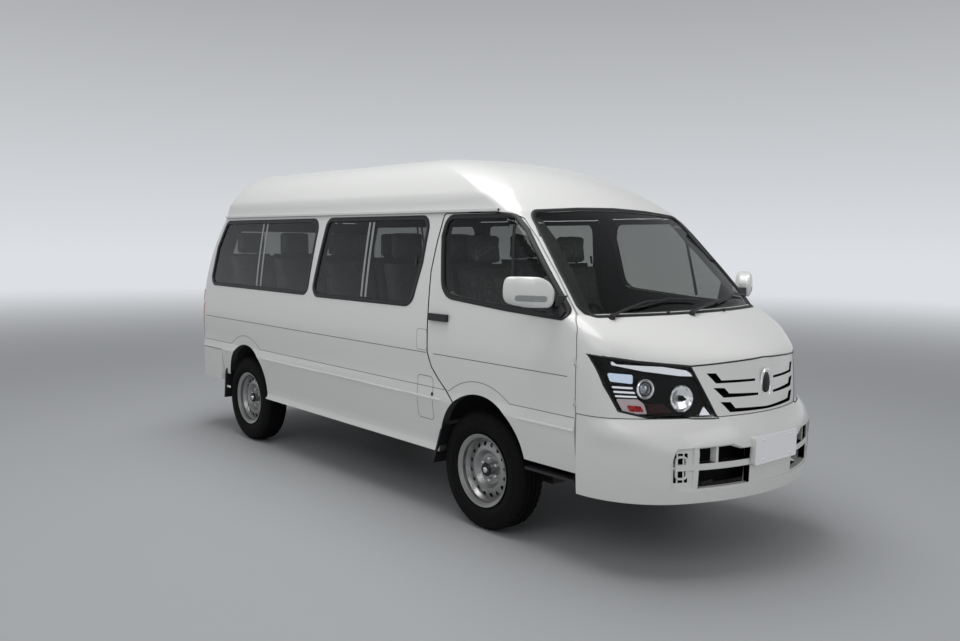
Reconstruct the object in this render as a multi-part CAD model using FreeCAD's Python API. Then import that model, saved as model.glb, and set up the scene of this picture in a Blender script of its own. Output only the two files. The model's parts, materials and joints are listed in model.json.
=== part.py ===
import FreeCAD, Part
import math
import os
import Sketcher
from FreeCAD import Placement, Rotation, Vector

# A high-roofed minibus, in millimetres. X points forward, Y to the left and Z up.
# The model's zero is on the ground, under the middle of the bodywork.
# Distances along the vehicle are measured forward from the front axle, and every piece is then moved
# forward by the axle's own place.

doc = FreeCAD.newDocument("minibus")
sheet = doc.addObject("Spreadsheet::Sheet", "Sizes")

SIZES = (
    ("wheelbase", 2890, "front axle to rear axle"),
    ("front_overhang", 1352, "front axle to the front of the bumper"),
    ("rear_overhang", 950, "rear axle to the back of the bumper"),
    ("track", 1430, "between the middles of the tyres of one axle"),
    ("wall", 50, "thickness of doors, sides and roof with their lining"),
    ("shut_gap", 6, "gap round a door or lid"),
    ("rear_shut_gap", 11, "gap at the free edge of a front door"),
    ("door_flange", 14, "thickness of the flange at a front door's free edge"),
    ("door_rebate", 12, "how far the door is set back behind that flange"),
    ("half_width", 846, "middle plane to the flank at the belt"),
    ("sill_z", 390, "lower edge of the flank"),
    ("sill_tuck", 33, "how far the flank draws in above the sill"),
    ("sill_flare", 12, "how far the lip of the sill turns out again"),
    ("crease_z", 705, "lower edge of the flank's groove"),
    ("crease_proud", 5, "how far the crease stands out"),
    ("channel_z", 770, "upper edge of the flank's groove"),
    ("belt_z", 970, "widest line of the flank"),
    ("nose_z", 1060, "top edge of lamps and grille"),
    ("cowl_z", 1274, "bottom edge of the windscreen"),
    ("gutter_z", 1800, "rain gutter"),
    ("gutter_half", 745, "middle plane to the flank at the gutter"),
    ("roof_crease_z", 1903, "crease of the raised roof"),
    ("roof_crease_half", 728, "middle plane to the roof's crease"),
    ("roof_z", 2180, "top of the roof"),
    ("roof_step", 7, "how far the raised roof is set in at its crease"),
    ("nose_x", 1258, "grille top, ahead of the front axle"),
    ("nose_lean", 41, "how far the grille's bottom stands ahead of its top"),
    ("nose_low_z", 776, "bottom of the grille"),
    ("cowl_x", 825, "windscreen bottom, ahead of the front axle"),
    ("header_x", 284, "windscreen top, ahead of the front axle"),
    ("nose_bow", 1090, "plan radius of the nose"),
    ("nose_corner", 234, "plan radius of the nose's corners"),
    ("screen_bow", 2378, "plan radius of the windscreen"),
    ("screen_corner", 150, "plan radius of the windscreen's corners"),
    ("tail_x", 3790, "tailgate, behind the front axle"),
    ("tail_lean", 280, "how far the tailgate's top leans forward"),
    ("tail_lean_z", 1000, "height at which the tailgate begins to lean"),
    ("tail_bow", 5000, "plan radius of the tailgate"),
    ("tail_corner", 130, "plan radius of the rear corners"),
    ("crown_x", 1500, "middle of the roof's crown, behind the front axle"),
    ("tyre_radius", 341, "outside of the tyre"),
    ("tyre_width", 195, "width of the tyre"),
    ("rim_radius", 190, "seat of the tyre on the rim"),
    ("rim_width", 150, "between the rim's flanges"),
    ("rim_flange", 16, "height of the rim's flange above the seat"),
    ("disc_dish", 45, "how far the wheel's disc lies inside the outer flange"),
    ("hub_radius", 42, "cap in the middle of the wheel"),
    ("arch_radius", 365, "front wheel opening"),
    ("arch_x", 15, "middle of the front wheel opening, ahead of the axle"),
    ("arch_z", 415, "middle of the front wheel opening, above the ground"),
    ("rear_arch_radius", 320, "rear wheel opening"),
    ("rear_arch_x", 40, "middle of the rear wheel opening, ahead of the rear axle"),
    ("rear_arch_z", 462, "middle of the rear wheel opening, above the ground"),
    ("floor_z", 560, "top of the saloon floor"),
    ("footwell_z", 500, "top of the cab floor"),
    ("floor_plate", 30, "thickness of the floor"),
    ("seat_box_z", 830, "top of the box under the front seats"),
    ("bumper_z", 390, "lower edge of the front bumper"),
    ("bumper_top_z", 792, "upper edge of the front bumper"),
    ("rear_bumper_z", 450, "lower edge of the rear bumper"),
    ("rear_bumper_top_z", 700, "upper edge of the rear bumper"),
    ("hinge_pin", 6, "radius of the tailgate's hinge pins"),
    ("lid_hinge_y", 450, "middle plane to a hinge of the tailgate"),
    ("door_pin", 2.5, "radius of the doors' hinge pins"),
    ("seat_clearance", 0.3, "between a piece and what it is seated on"),
    ("kingpin_inset", 65, "steering axis inside the middle of the tyre"),
    ("seat_width", 470, "a front seat's cushion"),
    ("seat_y", 390, "middle plane to the middle of a front seat"),
    ("row_pitch", 760, "from one row of rear seats to the next"),
    ("first_row_x", 1010, "back of the first row's cushion, behind the front axle"),
    ("steering_wheel_radius", 200, "outside of the steering wheel"),
    ("rear_bumper_reach", 385, "start of the rear bumper's side, behind the rear axle"),
    ("glass", 5, "thickness of the glass"),
    ("glass_recess", 6, "how far the glass lies inside the skin"),
)

for row, (alias, value, note) in enumerate(SIZES, start=1):
    sheet.set("A%d" % row, note)
    sheet.set("B%d" % row, str(value))
    sheet.setAlias("B%d" % row, alias)
doc.recompute()

# A big flat or round cutter only has to reach past the body.
FAR = 6000


def size(alias):
    """The number in the sheet's cell of that name."""
    return float(sheet.get(alias))


HALF = size("half_width")
WALL = size("wall")
AXLE_X = (size("wheelbase") + size("front_overhang") + size("rear_overhang")) / 2 - size("front_overhang")
REAR_X = -size("wheelbase")

nodes = []


def keep(obj, x=AXLE_X):
    """Place a finished piece and note it as one of the model's pieces."""
    obj.Placement = Placement(Vector(x, 0, 0), Rotation())
    nodes.append(obj)
    return obj


def piece(label, *shapes):
    """A piece whose form comes from lofts and cuts. Several shapes that don't touch share it."""
    obj = doc.addObject("Part::Feature", label)
    obj.Label = label
    solids = [solid for shape in shapes for solid in shape.Solids]
    obj.Shape = solids[0] if len(solids) == 1 else Part.makeCompound(solids)
    return keep(obj)


def power(base, exponent):
    """A power that stays real where a changed size takes the base below zero."""
    return max(base, 0.0) ** exponent


# How the plan outline of the body changes with height

def flank(z):
    """Half of the body's width."""
    sill, crease, channel = size("sill_z"), size("crease_z"), size("channel_z")
    belt, gutter = size("belt_z"), size("gutter_z")
    roof_crease, roof = size("roof_crease_z"), size("roof_z")
    proud = size("crease_proud")
    if z < crease:
        share = (crease - z) / (crease - sill)
        flare = size("sill_flare") * max(share - 0.85, 0) / 0.15
        return HALF + proud - size("sill_tuck") * min(share / 0.85, 1) ** 0.9 + flare
    if z < channel:
        return HALF + proud - (proud + 3) * (z - crease) / (channel - crease)
    if z < belt:
        return HALF - 3 * ((belt - z) / (belt - channel)) ** 2
    if z <= gutter:
        return HALF - (HALF - size("gutter_half")) * ((z - belt) / (gutter - belt)) ** 1.56
    if z <= roof_crease:
        lean = size("gutter_half") - size("roof_crease_half")
        return size("gutter_half") - lean * (z - gutter) / (roof_crease - gutter)
    raised = size("roof_crease_half") - size("roof_step") * (z - roof_crease) / (roof - roof_crease)
    return raised * power((roof - z) / (roof - roof_crease), 0.25)


def nose(z):
    """Front of the body: its place, its plan radius and the plan radius of its corners."""
    low, top, cowl, gutter = size("nose_low_z"), size("nose_z"), size("cowl_z"), size("gutter_z")
    roof = size("roof_z")
    bow, corner = size("nose_bow"), size("nose_corner")
    screen_bow, screen_corner = size("screen_bow"), size("screen_corner")
    if z < top:
        rise = max(z - low, 0) / (top - low)
        return size("nose_x") + size("nose_lean") * (1 - rise), bow, corner
    if z < cowl:
        rise = (z - top) / (cowl - top)
        place = size("nose_x") - (size("nose_x") - size("cowl_x")) * rise ** 1.35
        return place, bow + (screen_bow - bow) * rise ** 1.5, corner + (screen_corner - corner) * rise
    if z <= gutter:
        rise = (z - cowl) / (gutter - cowl)
        place = size("cowl_x") + (size("header_x") - size("cowl_x")) * rise + 48 * rise * (1 - rise)
        return place, screen_bow, screen_corner - 30 * rise
    fall = (roof - z) / (roof - gutter)
    place = -size("crown_x") + (size("header_x") + size("crown_x")) * power(fall, 0.28)
    round_corner = min(screen_corner - 30 + (1 - fall) * 250, 0.55 * flank(z))
    return place, screen_bow * (0.25 + 0.75 * fall), round_corner


def tail(z):
    """Back of the body, in the same terms."""
    lean_z, gutter, roof = size("tail_lean_z"), size("gutter_z"), size("roof_z")
    bow, corner = size("tail_bow"), size("tail_corner")
    if z <= lean_z:
        return -size("tail_x"), bow, corner
    if z <= gutter:
        rise = (z - lean_z) / (gutter - lean_z)
        return -size("tail_x") + size("tail_lean") * rise ** 2.2, bow, corner
    fall = (roof - z) / (roof - gutter)
    top = -size("tail_x") + size("tail_lean")
    place = -size("crown_x") + (top + size("crown_x")) * power(fall, 0.02)
    return place, bow * (0.2 + 0.8 * fall), min(corner + (1 - fall) * 20, 0.55 * flank(z))


def end_points(half, place, bow, corner, sign):
    """The corner and bow of one end, for the front with sign 1 and for the back with sign -1."""
    bow_x = place - sign * bow
    side = half - corner
    corner_x = bow_x + sign * math.sqrt((bow - corner) ** 2 - side ** 2)
    reach = bow / (bow - corner)
    meet = Vector(bow_x + (corner_x - bow_x) * reach, side * reach, 0)
    along = Vector(corner_x - bow_x, side, 0).normalize() + Vector(0, 1, 0)
    middle = Vector(corner_x, side, 0) + along.normalize() * corner
    return Vector(corner_x, half, 0), middle, meet, Vector(place, 0, 0)


def mirrored(point):
    return Vector(point.x, -point.y, point.z)


def plan_wire(z, half, front, back):
    """The closed plan outline: a flank, a corner, a bow and a corner on each side."""
    start, front_mid, front_meet, front_tip = end_points(half, *front, 1)
    end, back_mid, back_meet, back_tip = end_points(half, *back, -1)
    edges = [
        Part.LineSegment(mirrored(end), mirrored(start)),
        Part.Arc(mirrored(start), mirrored(front_mid), mirrored(front_meet)),
        Part.Arc(mirrored(front_meet), front_tip, front_meet),
        Part.Arc(front_meet, front_mid, start),
        Part.LineSegment(start, end),
        Part.Arc(end, back_mid, back_meet),
        Part.Arc(back_meet, back_tip, mirrored(back_meet)),
        Part.Arc(mirrored(back_meet), mirrored(back_mid), mirrored(end)),
    ]
    wire = Part.Wire([edge.toShape() for edge in edges])
    wire.translate(Vector(0, 0, z))
    return wire


def body_wire(z, inset, height=None):
    """The body's outline at height z, moved inwards by inset."""
    front, front_bow, front_corner = nose(z)
    back, back_bow, back_corner = tail(z)
    return plan_wire(
        z if height is None else height,
        flank(z) - inset,
        (front - inset, front_bow - inset, front_corner - inset),
        (back + inset, back_bow - inset, back_corner - inset),
    )


def levels(low, high, count):
    return [low + (high - low) * step / count for step in range(count + 1)]


def body_solid(inset):
    """The body's outside, or a smaller copy inside it that is open downwards."""
    sill, crease, channel = size("sill_z"), size("crease_z"), size("channel_z")
    nose_z, cowl, gutter = size("nose_z"), size("cowl_z"), size("gutter_z")
    roof_crease, roof = size("roof_crease_z"), size("roof_z")
    lip = sill + 0.15 * (crease - sill)
    shrink = (roof - gutter - inset) / (roof - gutter)
    bands = (
        ([sill, lip, (lip + crease) / 2, crease], True),
        ([crease, channel], True),
        (levels(channel, nose_z, 4), False),
        (levels(nose_z, cowl, 5), False),
        (levels(cowl, gutter, 5), False),
        (levels(gutter, roof_crease, 2), False),
        ([roof - (roof - roof_crease) * share for share in (1, 0.8, 0.6, 0.42, 0.27, 0.15, 0.07, 0.02, 0.002)],
         False),
    )
    parts = []
    if inset:
        outline = Part.Face(body_wire(sill, inset, 0))
        parts.append(outline.extrude(Vector(0, 0, sill)))
    for heights, ruled in bands:
        wires = []
        for z in heights:
            height = gutter + (z - gutter) * shrink if z > gutter else z
            wires.append(body_wire(z, inset, height))
        parts.append(Part.makeLoft(wires, True, ruled))
    return parts[0].fuse(parts[1:])


# Cutters

def outline_face(points, radii=0.0):
    """A flat face round the points, with its corners rounded by one radius or by a list of them."""
    if not isinstance(radii, (list, tuple)):
        radii = [radii] * len(points)
    edges = []
    starts, ends, mids = [], [], []
    count = len(points)
    for i, point in enumerate(points):
        before = (points[i - 1] - point).normalize()
        after = (points[(i + 1) % count] - point).normalize()
        if radii[i] <= 0:
            starts.append(point)
            ends.append(point)
            mids.append(None)
            continue
        half = before.getAngle(after) / 2
        reach = radii[i] / math.tan(half)
        bisector = (before + after).normalize()
        starts.append(point + before * reach)
        ends.append(point + after * reach)
        mids.append(point + bisector * (radii[i] / math.sin(half) - radii[i]))
    for i in range(count):
        if mids[i] is not None:
            edges.append(Part.Arc(starts[i], mids[i], ends[i]).toShape())
        following = starts[(i + 1) % count]
        if ends[i].distanceToPoint(following) > 0.01:
            edges.append(Part.LineSegment(ends[i], following).toShape())
    return Part.Face(Part.Wire(edges))


def side_prism(points, y_from, y_to, radii=0.0):
    """A prism across the vehicle, from an outline of (x, z) points."""
    face = outline_face([Vector(x, y_from, z) for x, z in points], radii)
    return face.extrude(Vector(0, y_to - y_from, 0))


def end_prism(points, x_from, x_to, radii=0.0):
    """A prism along the vehicle, from an outline of (y, z) points."""
    face = outline_face([Vector(x_from, y, z) for y, z in points], radii)
    return face.extrude(Vector(x_to - x_from, 0, 0))


def box(x_low, x_high, y_low, y_high, z_low, z_high):
    return Part.makeBox(x_high - x_low, y_high - y_low, z_high - z_low, Vector(x_low, y_low, z_low))


def cross_cylinder(radius, x, z, y_from=-FAR, y_to=FAR):
    """A cylinder across the vehicle."""
    return Part.makeCylinder(radius, y_to - y_from, Vector(x, y_from, z), Vector(0, 1, 0))


def other_side(shape):
    return shape.mirror(Vector(0, 0, 0), Vector(0, 1, 0))


outside = body_solid(0)
inside = body_solid(WALL)
shell = outside.cut(inside)


# Outlines of the openings in the flanks, as (x, z) points

DOOR_OUTLINE = (
    (-420, 1797), (-453, 1639), (-479, 1451), (-467, 1168), (-455, 970), (-412, 887), (-346, 823),
    (-215, 715), (15, 500), (380, 480), (756, 480), (756, 749), (753, 1091), (741, 1209), (697, 1263),
    (511, 1471), (332, 1654), (213, 1764), (150, 1790), (27, 1797),
)
DOOR_RADII = (30, 0, 0, 0, 60, 60, 0, 0, 0, 0, 20, 0, 0, 40, 40, 0, 0, 30, 0, 0)
DOOR_WINDOW = (
    (-370, 1764), (171, 1766), (262, 1690), (640, 1290), (632, 1266), (213, 1285), (-330, 1325), (-392, 1662),
)
DOOR_WINDOW_RADII = (60, 60, 60, 25, 12, 0, 110, 0)
FRONT_SIDE_WINDOW = ((-1713, 1760), (-563, 1762), (-583, 1499), (-650, 1253), (-1813, 1250))
FRONT_SIDE_RADII = (55, 55, 0, 75, 55)
REAR_SIDE_WINDOW = ((-3327, 1754), (-1856, 1757), (-1910, 1255), (-3499, 1257), (-3440, 1550))
REAR_SIDE_RADII = (55, 55, 55, 55, 0)
SLIDER_OUTLINE = ((-1850, 1790), (-480, 1790), (-497, 1451), (-485, 1168), (-485, 470), (-1850, 470))
SLIDER_RADII = (40, 40, 0, 0, 40, 40)

# Outlines seen from the front or the back, as (y, z) points

SCREEN_OUTLINE = (
    (-738, 1274), (738, 1274), (704, 1494), (636, 1790), (300, 1811), (0, 1818), (-300, 1811), (-636, 1790),
    (-704, 1494),
)
SCREEN_RADII = (45, 45, 0, 60, 0, 0, 0, 60, 0)
LAMP_OUTLINE = (
    (-838, 1096), (-814, 948), (-779, 828), (-666, 796), (-352, 786), (-466, 1040), (-694, 1067),
)
LAMP_RADII = (0, 0, 50, 0, 12, 8, 0)
GRILLE_OUTLINE = ((-466, 1040), (-240, 1052), (0, 1062), (240, 1052), (466, 1040), (352, 786), (-352, 786))
TAILGATE_OUTLINE = ((-690, 706), (690, 706), (700, 1000), (690, 1280), (640, 1786), (-640, 1786), (-690, 1280),
                    (-700, 1000))
TAILGATE_RADII = (50, 50, 0, 0, 60, 60, 0, 0)
TAIL_WINDOW = ((-600, 1290), (600, 1290), (560, 1700), (-560, 1700))


def grown(face, amount):
    """A flat outline made larger, or smaller where the amount is negative."""
    return face.makeOffset2D(amount, 0, False, False, False)


def side_cutter(points, radii, amount=0.0, y_from=-FAR, y_to=-300):
    """A prism through the right-hand flank from an outline, made larger by an amount."""
    face = outline_face([Vector(x, y_from, z) for x, z in points], list(radii))
    if amount:
        face = grown(face, amount)
    return face.extrude(Vector(0, y_to - y_from, 0))


def end_cutter(points, radii, x_from, x_to, amount=0.0):
    face = outline_face([Vector(x_from, y, z) for y, z in points], radii)
    if amount:
        face = grown(face, amount)
    return face.extrude(Vector(x_to - x_from, 0, 0))


CLEAR = size("seat_clearance")
GUTTER = size("gutter_z")
COWL = size("cowl_z")
GAP = size("shut_gap")

front_arch = cross_cylinder(size("arch_radius"), size("arch_x"), size("arch_z"), -FAR, 0)
rear_arch = cross_cylinder(size("rear_arch_radius"), REAR_X + size("rear_arch_x"), size("rear_arch_z"), -FAR, 0)

door_hole = side_cutter(DOOR_OUTLINE, DOOR_RADII)
door_window = side_cutter(DOOR_WINDOW, DOOR_WINDOW_RADII)
front_window = side_cutter(FRONT_SIDE_WINDOW, FRONT_SIDE_RADII)
rear_window = side_cutter(REAR_SIDE_WINDOW, REAR_SIDE_RADII)
slider_hole = side_cutter(SLIDER_OUTLINE, SLIDER_RADII)
screen_hole = end_cutter(SCREEN_OUTLINE, list(SCREEN_RADII), 100, FAR)
above_bumper = box(-FAR, FAR, -FAR, FAR, size("bumper_top_z") + 4, FAR)
lamp_hole = end_cutter(LAMP_OUTLINE, list(LAMP_RADII), 780, FAR).common(above_bumper)
grille_hole = end_cutter(GRILLE_OUTLINE, 8, 900, FAR).common(above_bumper)
tailgate_hole = end_cutter(TAILGATE_OUTLINE, list(TAILGATE_RADII), -FAR, -3300)
tail_window = end_cutter(TAIL_WINDOW, 60, -FAR, -3300)

glass_shell = body_solid(size("glass_recess")).cut(body_solid(size("glass_recess") + size("glass")))

right_half = shell.common(box(-FAR, FAR, -FAR, 0, 0, FAR))
glass_right = glass_shell.common(box(-FAR, FAR, -FAR, 0, 0, FAR))

# The front door takes its outline from the opening, less the gap that it shuts with.

door_prism = side_cutter(DOOR_OUTLINE, DOOR_RADII, -GAP)
flange_prism = door_prism.translated(Vector(size("rear_shut_gap") - GAP, 0, 0))
rebate_prism = flange_prism.translated(Vector(size("door_rebate"), 0, 0))
behind_flange = body_solid(size("door_flange"))
door_skin = right_half.common(door_prism).common(flange_prism)
door_shape = door_skin.cut(behind_flange).fuse(door_skin.common(behind_flange).common(rebate_prism)).cut(front_arch)
door_pane = glass_right.common(door_window)
door_shape = door_shape.cut(door_window)
door_axis = Vector(748.5, -size("half_width") + 2, 0)
door_pins, door_knuckles, door_bores = [], [], []
for low in (830, 1030):
    pin = Part.makeCylinder(size("door_pin"), 35, Vector(door_axis.x, door_axis.y, low))
    ear = box(door_axis.x - 3, 765, door_axis.y - 3, door_axis.y + 5, low, low + 6)
    door_pins += [pin, ear]
    sleeve = Part.makeCylinder(size("door_pin") + 2, 28, Vector(door_axis.x, door_axis.y, low + 6.3))
    web = box(door_axis.x - 12, door_axis.x, door_axis.y - 2, door_axis.y + 4, low + 6.3, low + 34.3)
    door_bores.append(Part.makeCylinder(size("door_pin") + 0.05, 40, Vector(door_axis.x, door_axis.y, low)))
    door_knuckles.append(sleeve.fuse(web))
    door_shape = door_shape.cut(box(door_axis.x - 12, door_axis.x + 20, -FAR, -780, low - 1, low + 6.3))
door_shape = door_shape.fuse(door_knuckles).cut(door_bores)
piece("door_right", door_shape)
piece("door_left", other_side(door_shape))
piece("door_glass_right", door_pane)
piece("door_glass_left", other_side(door_pane))

# The tailgate's hinges: ears and pins on the roof, bored knuckles on the lid

PIN = size("hinge_pin")
lid_axis = Vector(size("tail_lean") - size("tail_x"), 0, GUTTER)
ears, pins, knuckles, notches = [], [], [], []
for side in (-1, 1):
    middle = side * size("lid_hinge_y")
    for y in (middle - 35, middle + 25):
        ears.append(box(lid_axis.x - 12, lid_axis.x + 40, y, y + 10, GUTTER - 9, GUTTER + 14))
    pins.append(Part.makeCylinder(PIN, 60, Vector(lid_axis.x, middle - 30, GUTTER), Vector(0, 1, 0)))
    bored = Part.makeCylinder(PIN + 3, 49, Vector(lid_axis.x, middle - 24.5, GUTTER), Vector(0, 1, 0))
    leaf = box(lid_axis.x - PIN - 3, lid_axis.x + 6, middle - 24.5, middle + 24.5, GUTTER - 34, GUTTER)
    bore = Part.makeCylinder(PIN + 0.05, 60, Vector(lid_axis.x, middle - 30, GUTTER), Vector(0, 1, 0))
    knuckles.append(bored.fuse(leaf).cut(bore))
    notches.append(box(lid_axis.x - PIN - 9, lid_axis.x + PIN + 9, middle - 25, middle + 25, GUTTER - 40, GUTTER + 15))

# The flanks run from the front doors' rear edge round the rear corners to the tailgate.

flank_zone = box(-FAR, -200, -FAR, 0, size("sill_z"), GUTTER)
BUMPER_START = REAR_X - size("rear_bumper_reach")
tail_low = box(-FAR, BUMPER_START, -FAR, 0, 0, size("rear_bumper_top_z") + GAP)
wheel_room = cross_cylinder(size("tyre_radius") + 35, REAR_X, size("tyre_radius"), -HALF + 20, 0)
flank_right = right_half.common(flank_zone)
flank_right = flank_right.cut([door_hole, tailgate_hole, rear_arch, front_arch, tail_low, wheel_room])
flank_left = other_side(flank_right).cut([other_side(slider_hole), other_side(rear_window)] + ears + notches)
flank_right = flank_right.cut([front_window, rear_window] + ears + notches)
piece("side_right", flank_right)
piece("side_left", flank_left)

slider = right_half.common(side_cutter(SLIDER_OUTLINE, SLIDER_RADII, -GAP)).cut(front_window)
piece("sliding_door", other_side(slider))
slider_pane = glass_right.common(front_window)
piece("sliding_door_glass", other_side(slider_pane))
rear_pane = glass_right.common(rear_window)
piece("side_windows", slider_pane, rear_pane, other_side(rear_pane))

# The raised roof, with the rain gutter along its foot

gutter_face = Part.Face(body_wire(GUTTER, -12))
gutter_rail = gutter_face.extrude(Vector(0, 0, 14)).cut(outside).common(box(-3400, 60, -FAR, FAR, 0, FAR))
roof = shell.common(box(-FAR, FAR, -FAR, FAR, GUTTER, FAR)).cut([screen_hole] + notches)
piece("roof", roof.fuse([gutter_rail] + ears + pins))

# The front end: windscreen pillars, front panel, screen, grille and lamps

door_holes = [door_hole, other_side(door_hole)]
lamp_holes = [lamp_hole, other_side(lamp_hole)]
pillars = shell.common(box(-100, FAR, -FAR, FAR, COWL, GUTTER)).cut(door_holes + [screen_hole])
piece("a_pillars", pillars)
front_low = size("bumper_top_z") + 4
front_panel = shell.common(box(300, FAR, -FAR, FAR, front_low, COWL)).cut(door_holes + lamp_holes + [grille_hole])
piece("front_panel", front_panel.fuse(door_pins + [other_side(shape) for shape in door_pins]))
piece("windscreen", glass_shell.common(screen_hole))

lamp = right_half.common(lamp_hole)
piece("headlamps", lamp, other_side(lamp))
grille = shell.common(grille_hole)
piece("grille", grille)

# The tail: tailgate, its glass, and the panel behind the rear bumper

tailgate = shell.common(end_cutter(TAILGATE_OUTLINE, list(TAILGATE_RADII), -FAR, -3300, -GAP)).cut(tail_window)
piece("tailgate", tailgate.fuse(knuckles))
piece("tailgate_glass", glass_shell.common(tail_window))


# Bumpers

def bumper_wire(z, inset):
    """The front bumper's plan outline: upright below, and a shelf that slopes in at the top."""
    top, low = size("bumper_top_z"), size("bumper_z")
    brow = top - 152
    tip = size("front_overhang")
    if z < brow:
        fall = (brow - z) / (brow - low)
        front = (tip - 12 * fall ** 2, 1261, 470)
        half = HALF - 10 * fall ** 2
    else:
        rise = (z - brow) / (top - brow)
        front = (tip - 53 * rise ** 2, 1261 - 170 * rise, 470 - 220 * rise)
        half = HALF
    place, bow, corner = front
    return plan_wire(z, half - inset, (place - inset, bow - inset, corner - inset), (-1000, 5000, 100))


def bumper_solid(inset, low, high):
    return Part.makeLoft([bumper_wire(z, inset) for z in levels(low, high, 8)], True, False)


bumper_skin = bumper_solid(0, size("bumper_z"), size("bumper_top_z"))
bumper_core = bumper_solid(45, size("bumper_z"), size("bumper_top_z"))
bumper_zone = box(756 + GAP, FAR, -FAR, FAR, 0, FAR)
bumper_shell = bumper_skin.cut(bumper_core).common(bumper_zone)
INTAKE = (
    (-632, 581), (-611, 660), (-316, 670), (-255, 643), (255, 643), (316, 670), (611, 660), (632, 581),
    (625, 467), (594, 452), (-594, 452), (-625, 467),
)
intake_hole = end_cutter(INTAKE, [20, 20, 0, 0, 0, 0, 20, 20, 15, 15, 15, 15], 900, FAR)
bars = [box(900, FAR, -600, 600, 552, 582), box(900, FAR, -520, -495, 440, 680), box(900, FAR, 495, 520, 440, 680),
        box(900, FAR, -190, 190, 440, 680)]
bar_skin = bumper_solid(8, size("bumper_z"), size("bumper_top_z")).cut(bumper_core)
bar_shape = bar_skin.common(intake_hole).common(bars[0].fuse(bars[1:]))
piece("bumper_front", bumper_shell.cut(intake_hole).fuse(bar_shape))


def rear_bumper_wire(z, inset):
    back = -size("wheelbase") - size("rear_overhang")
    return plan_wire(z, HALF + 4 - inset, (-1000, 5000, 100),
                     (back + inset, 4200 - inset, 190 - inset))


def rear_bumper_solid(inset, rise=0):
    low, high = size("rear_bumper_z"), size("rear_bumper_top_z") + rise
    return Part.makeLoft([rear_bumper_wire(low, inset), rear_bumper_wire(high, inset)], True, True)


rear_shell = rear_bumper_solid(0).cut(rear_bumper_solid(45))
piece("bumper_rear", rear_shell.common(box(-FAR, BUMPER_START - GAP, -FAR, FAR, 0, FAR)))
tail_skin = rear_bumper_solid(45 + CLEAR, GAP).cut(rear_bumper_solid(95, GAP))
tail_skin = tail_skin.common(box(-FAR, BUMPER_START - 20, -FAR, FAR, 0, FAR))


# Floor, rails and the heavy masses under them

FLOOR = size("floor_z")
PLATE = size("floor_plate")
CAB_BACK = -500
cabin = body_solid(WALL)
cab_space = body_solid(WALL + 8)

saloon_floor = cabin.common(box(-FAR, CAB_BACK, -FAR, FAR, FLOOR - PLATE, FLOOR))
rear_tub = cross_cylinder(size("rear_arch_radius") + 45, REAR_X + size("rear_arch_x"), size("rear_arch_z"))
rear_tub_room = cross_cylinder(size("rear_arch_radius") + 25, REAR_X + size("rear_arch_x"), size("rear_arch_z"))
tub_band = box(-FAR, FAR, -HALF + WALL, -560, FLOOR - PLATE, FAR)
tub_room = box(-FAR, FAR, -FAR, -580, 0, FAR)
cap = rear_tub.common(tub_band).cut(rear_tub_room.common(tub_room))
cap = cap.common(cabin)
room = rear_tub_room.common(tub_room)
saloon_floor = saloon_floor.cut([room, other_side(room)]).fuse([cap, other_side(cap)])

box_top = size("seat_box_z")
FOOT = size("footwell_z")
cab_profile = (
    (CAB_BACK, FLOOR - PLATE), (CAB_BACK, box_top), (330, box_top), (440, FOOT), (700, FOOT), (1110, 770),
    (1110, 1040), (1130, 1040), (1130, 757), (706, FOOT - 20), (425, FOOT - 20), (315, box_top - 20),
    (CAB_BACK + 20, box_top - 20), (CAB_BACK + 20, FLOOR - PLATE),
)
cab_floor = side_prism(cab_profile, -FAR, FAR, 0.0).common(cab_space)
piece("floor_pan", saloon_floor, cab_floor)
tail_skin = tail_skin.cut(saloon_floor)
piece("tail_panel", tail_skin)

RAIL_TOP = FLOOR - PLATE
rail_low = RAIL_TOP - 80
rear_rail = box(-3760, CAB_BACK, -500, -430, rail_low, RAIL_TOP)
front_rail = box(CAB_BACK - 200, 1200, -400, -330, rail_low - 40, RAIL_TOP - 60)
cross_members = [box(x, x + 80, -500, 500, rail_low, RAIL_TOP - 60) for x in (-3700, -2350, -700)]
front_cross = box(-110, 110, -330, 330, 205, rail_low)
nose_cross = box(1120, 1200, -400, 400, rail_low - 40, RAIL_TOP - 60)
beam_room = box(1100, FAR, -420, 420, rail_low - 40, rail_low)
beam = bumper_solid(45 + CLEAR, rail_low - 40, rail_low).cut(bumper_solid(80, rail_low - 40, rail_low))
beam = beam.common(beam_room)
struts = [box(1150, 1215, y, y + 70, rail_low - 40, rail_low) for y in (-400, 330)]
rails = rear_rail.fuse([other_side(rear_rail), front_rail, other_side(front_rail), front_cross, nose_cross])
rails = rails.fuse(cross_members + [beam] + struts).cut(tail_skin)
piece("underbody_rails", rails)
piece("battery_pack", box(-2240, -730, -425, 425, 250, RAIL_TOP))
piece("drive_motor", box(REAR_X + 116, REAR_X + 600, -190, 190, 250, rail_low))

# Wheels, hubs and axles

RADIUS = size("tyre_radius")
TRACK = size("track")
KINGPIN_Y = TRACK / 2 - size("kingpin_inset")

TYRE_PROFILE = ((190, 70), (212, 72), (238, 91), (268, 97.5), (300, 92), (326, 80), (338, 66), (341, 40))
WHEEL_OUTER = ((208, 84), (206, 77), (190, 74), (190, 40), (172, 26), (172, -30), (190, -50), (190, -74),
               (204, -78), (206, -84))


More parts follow.
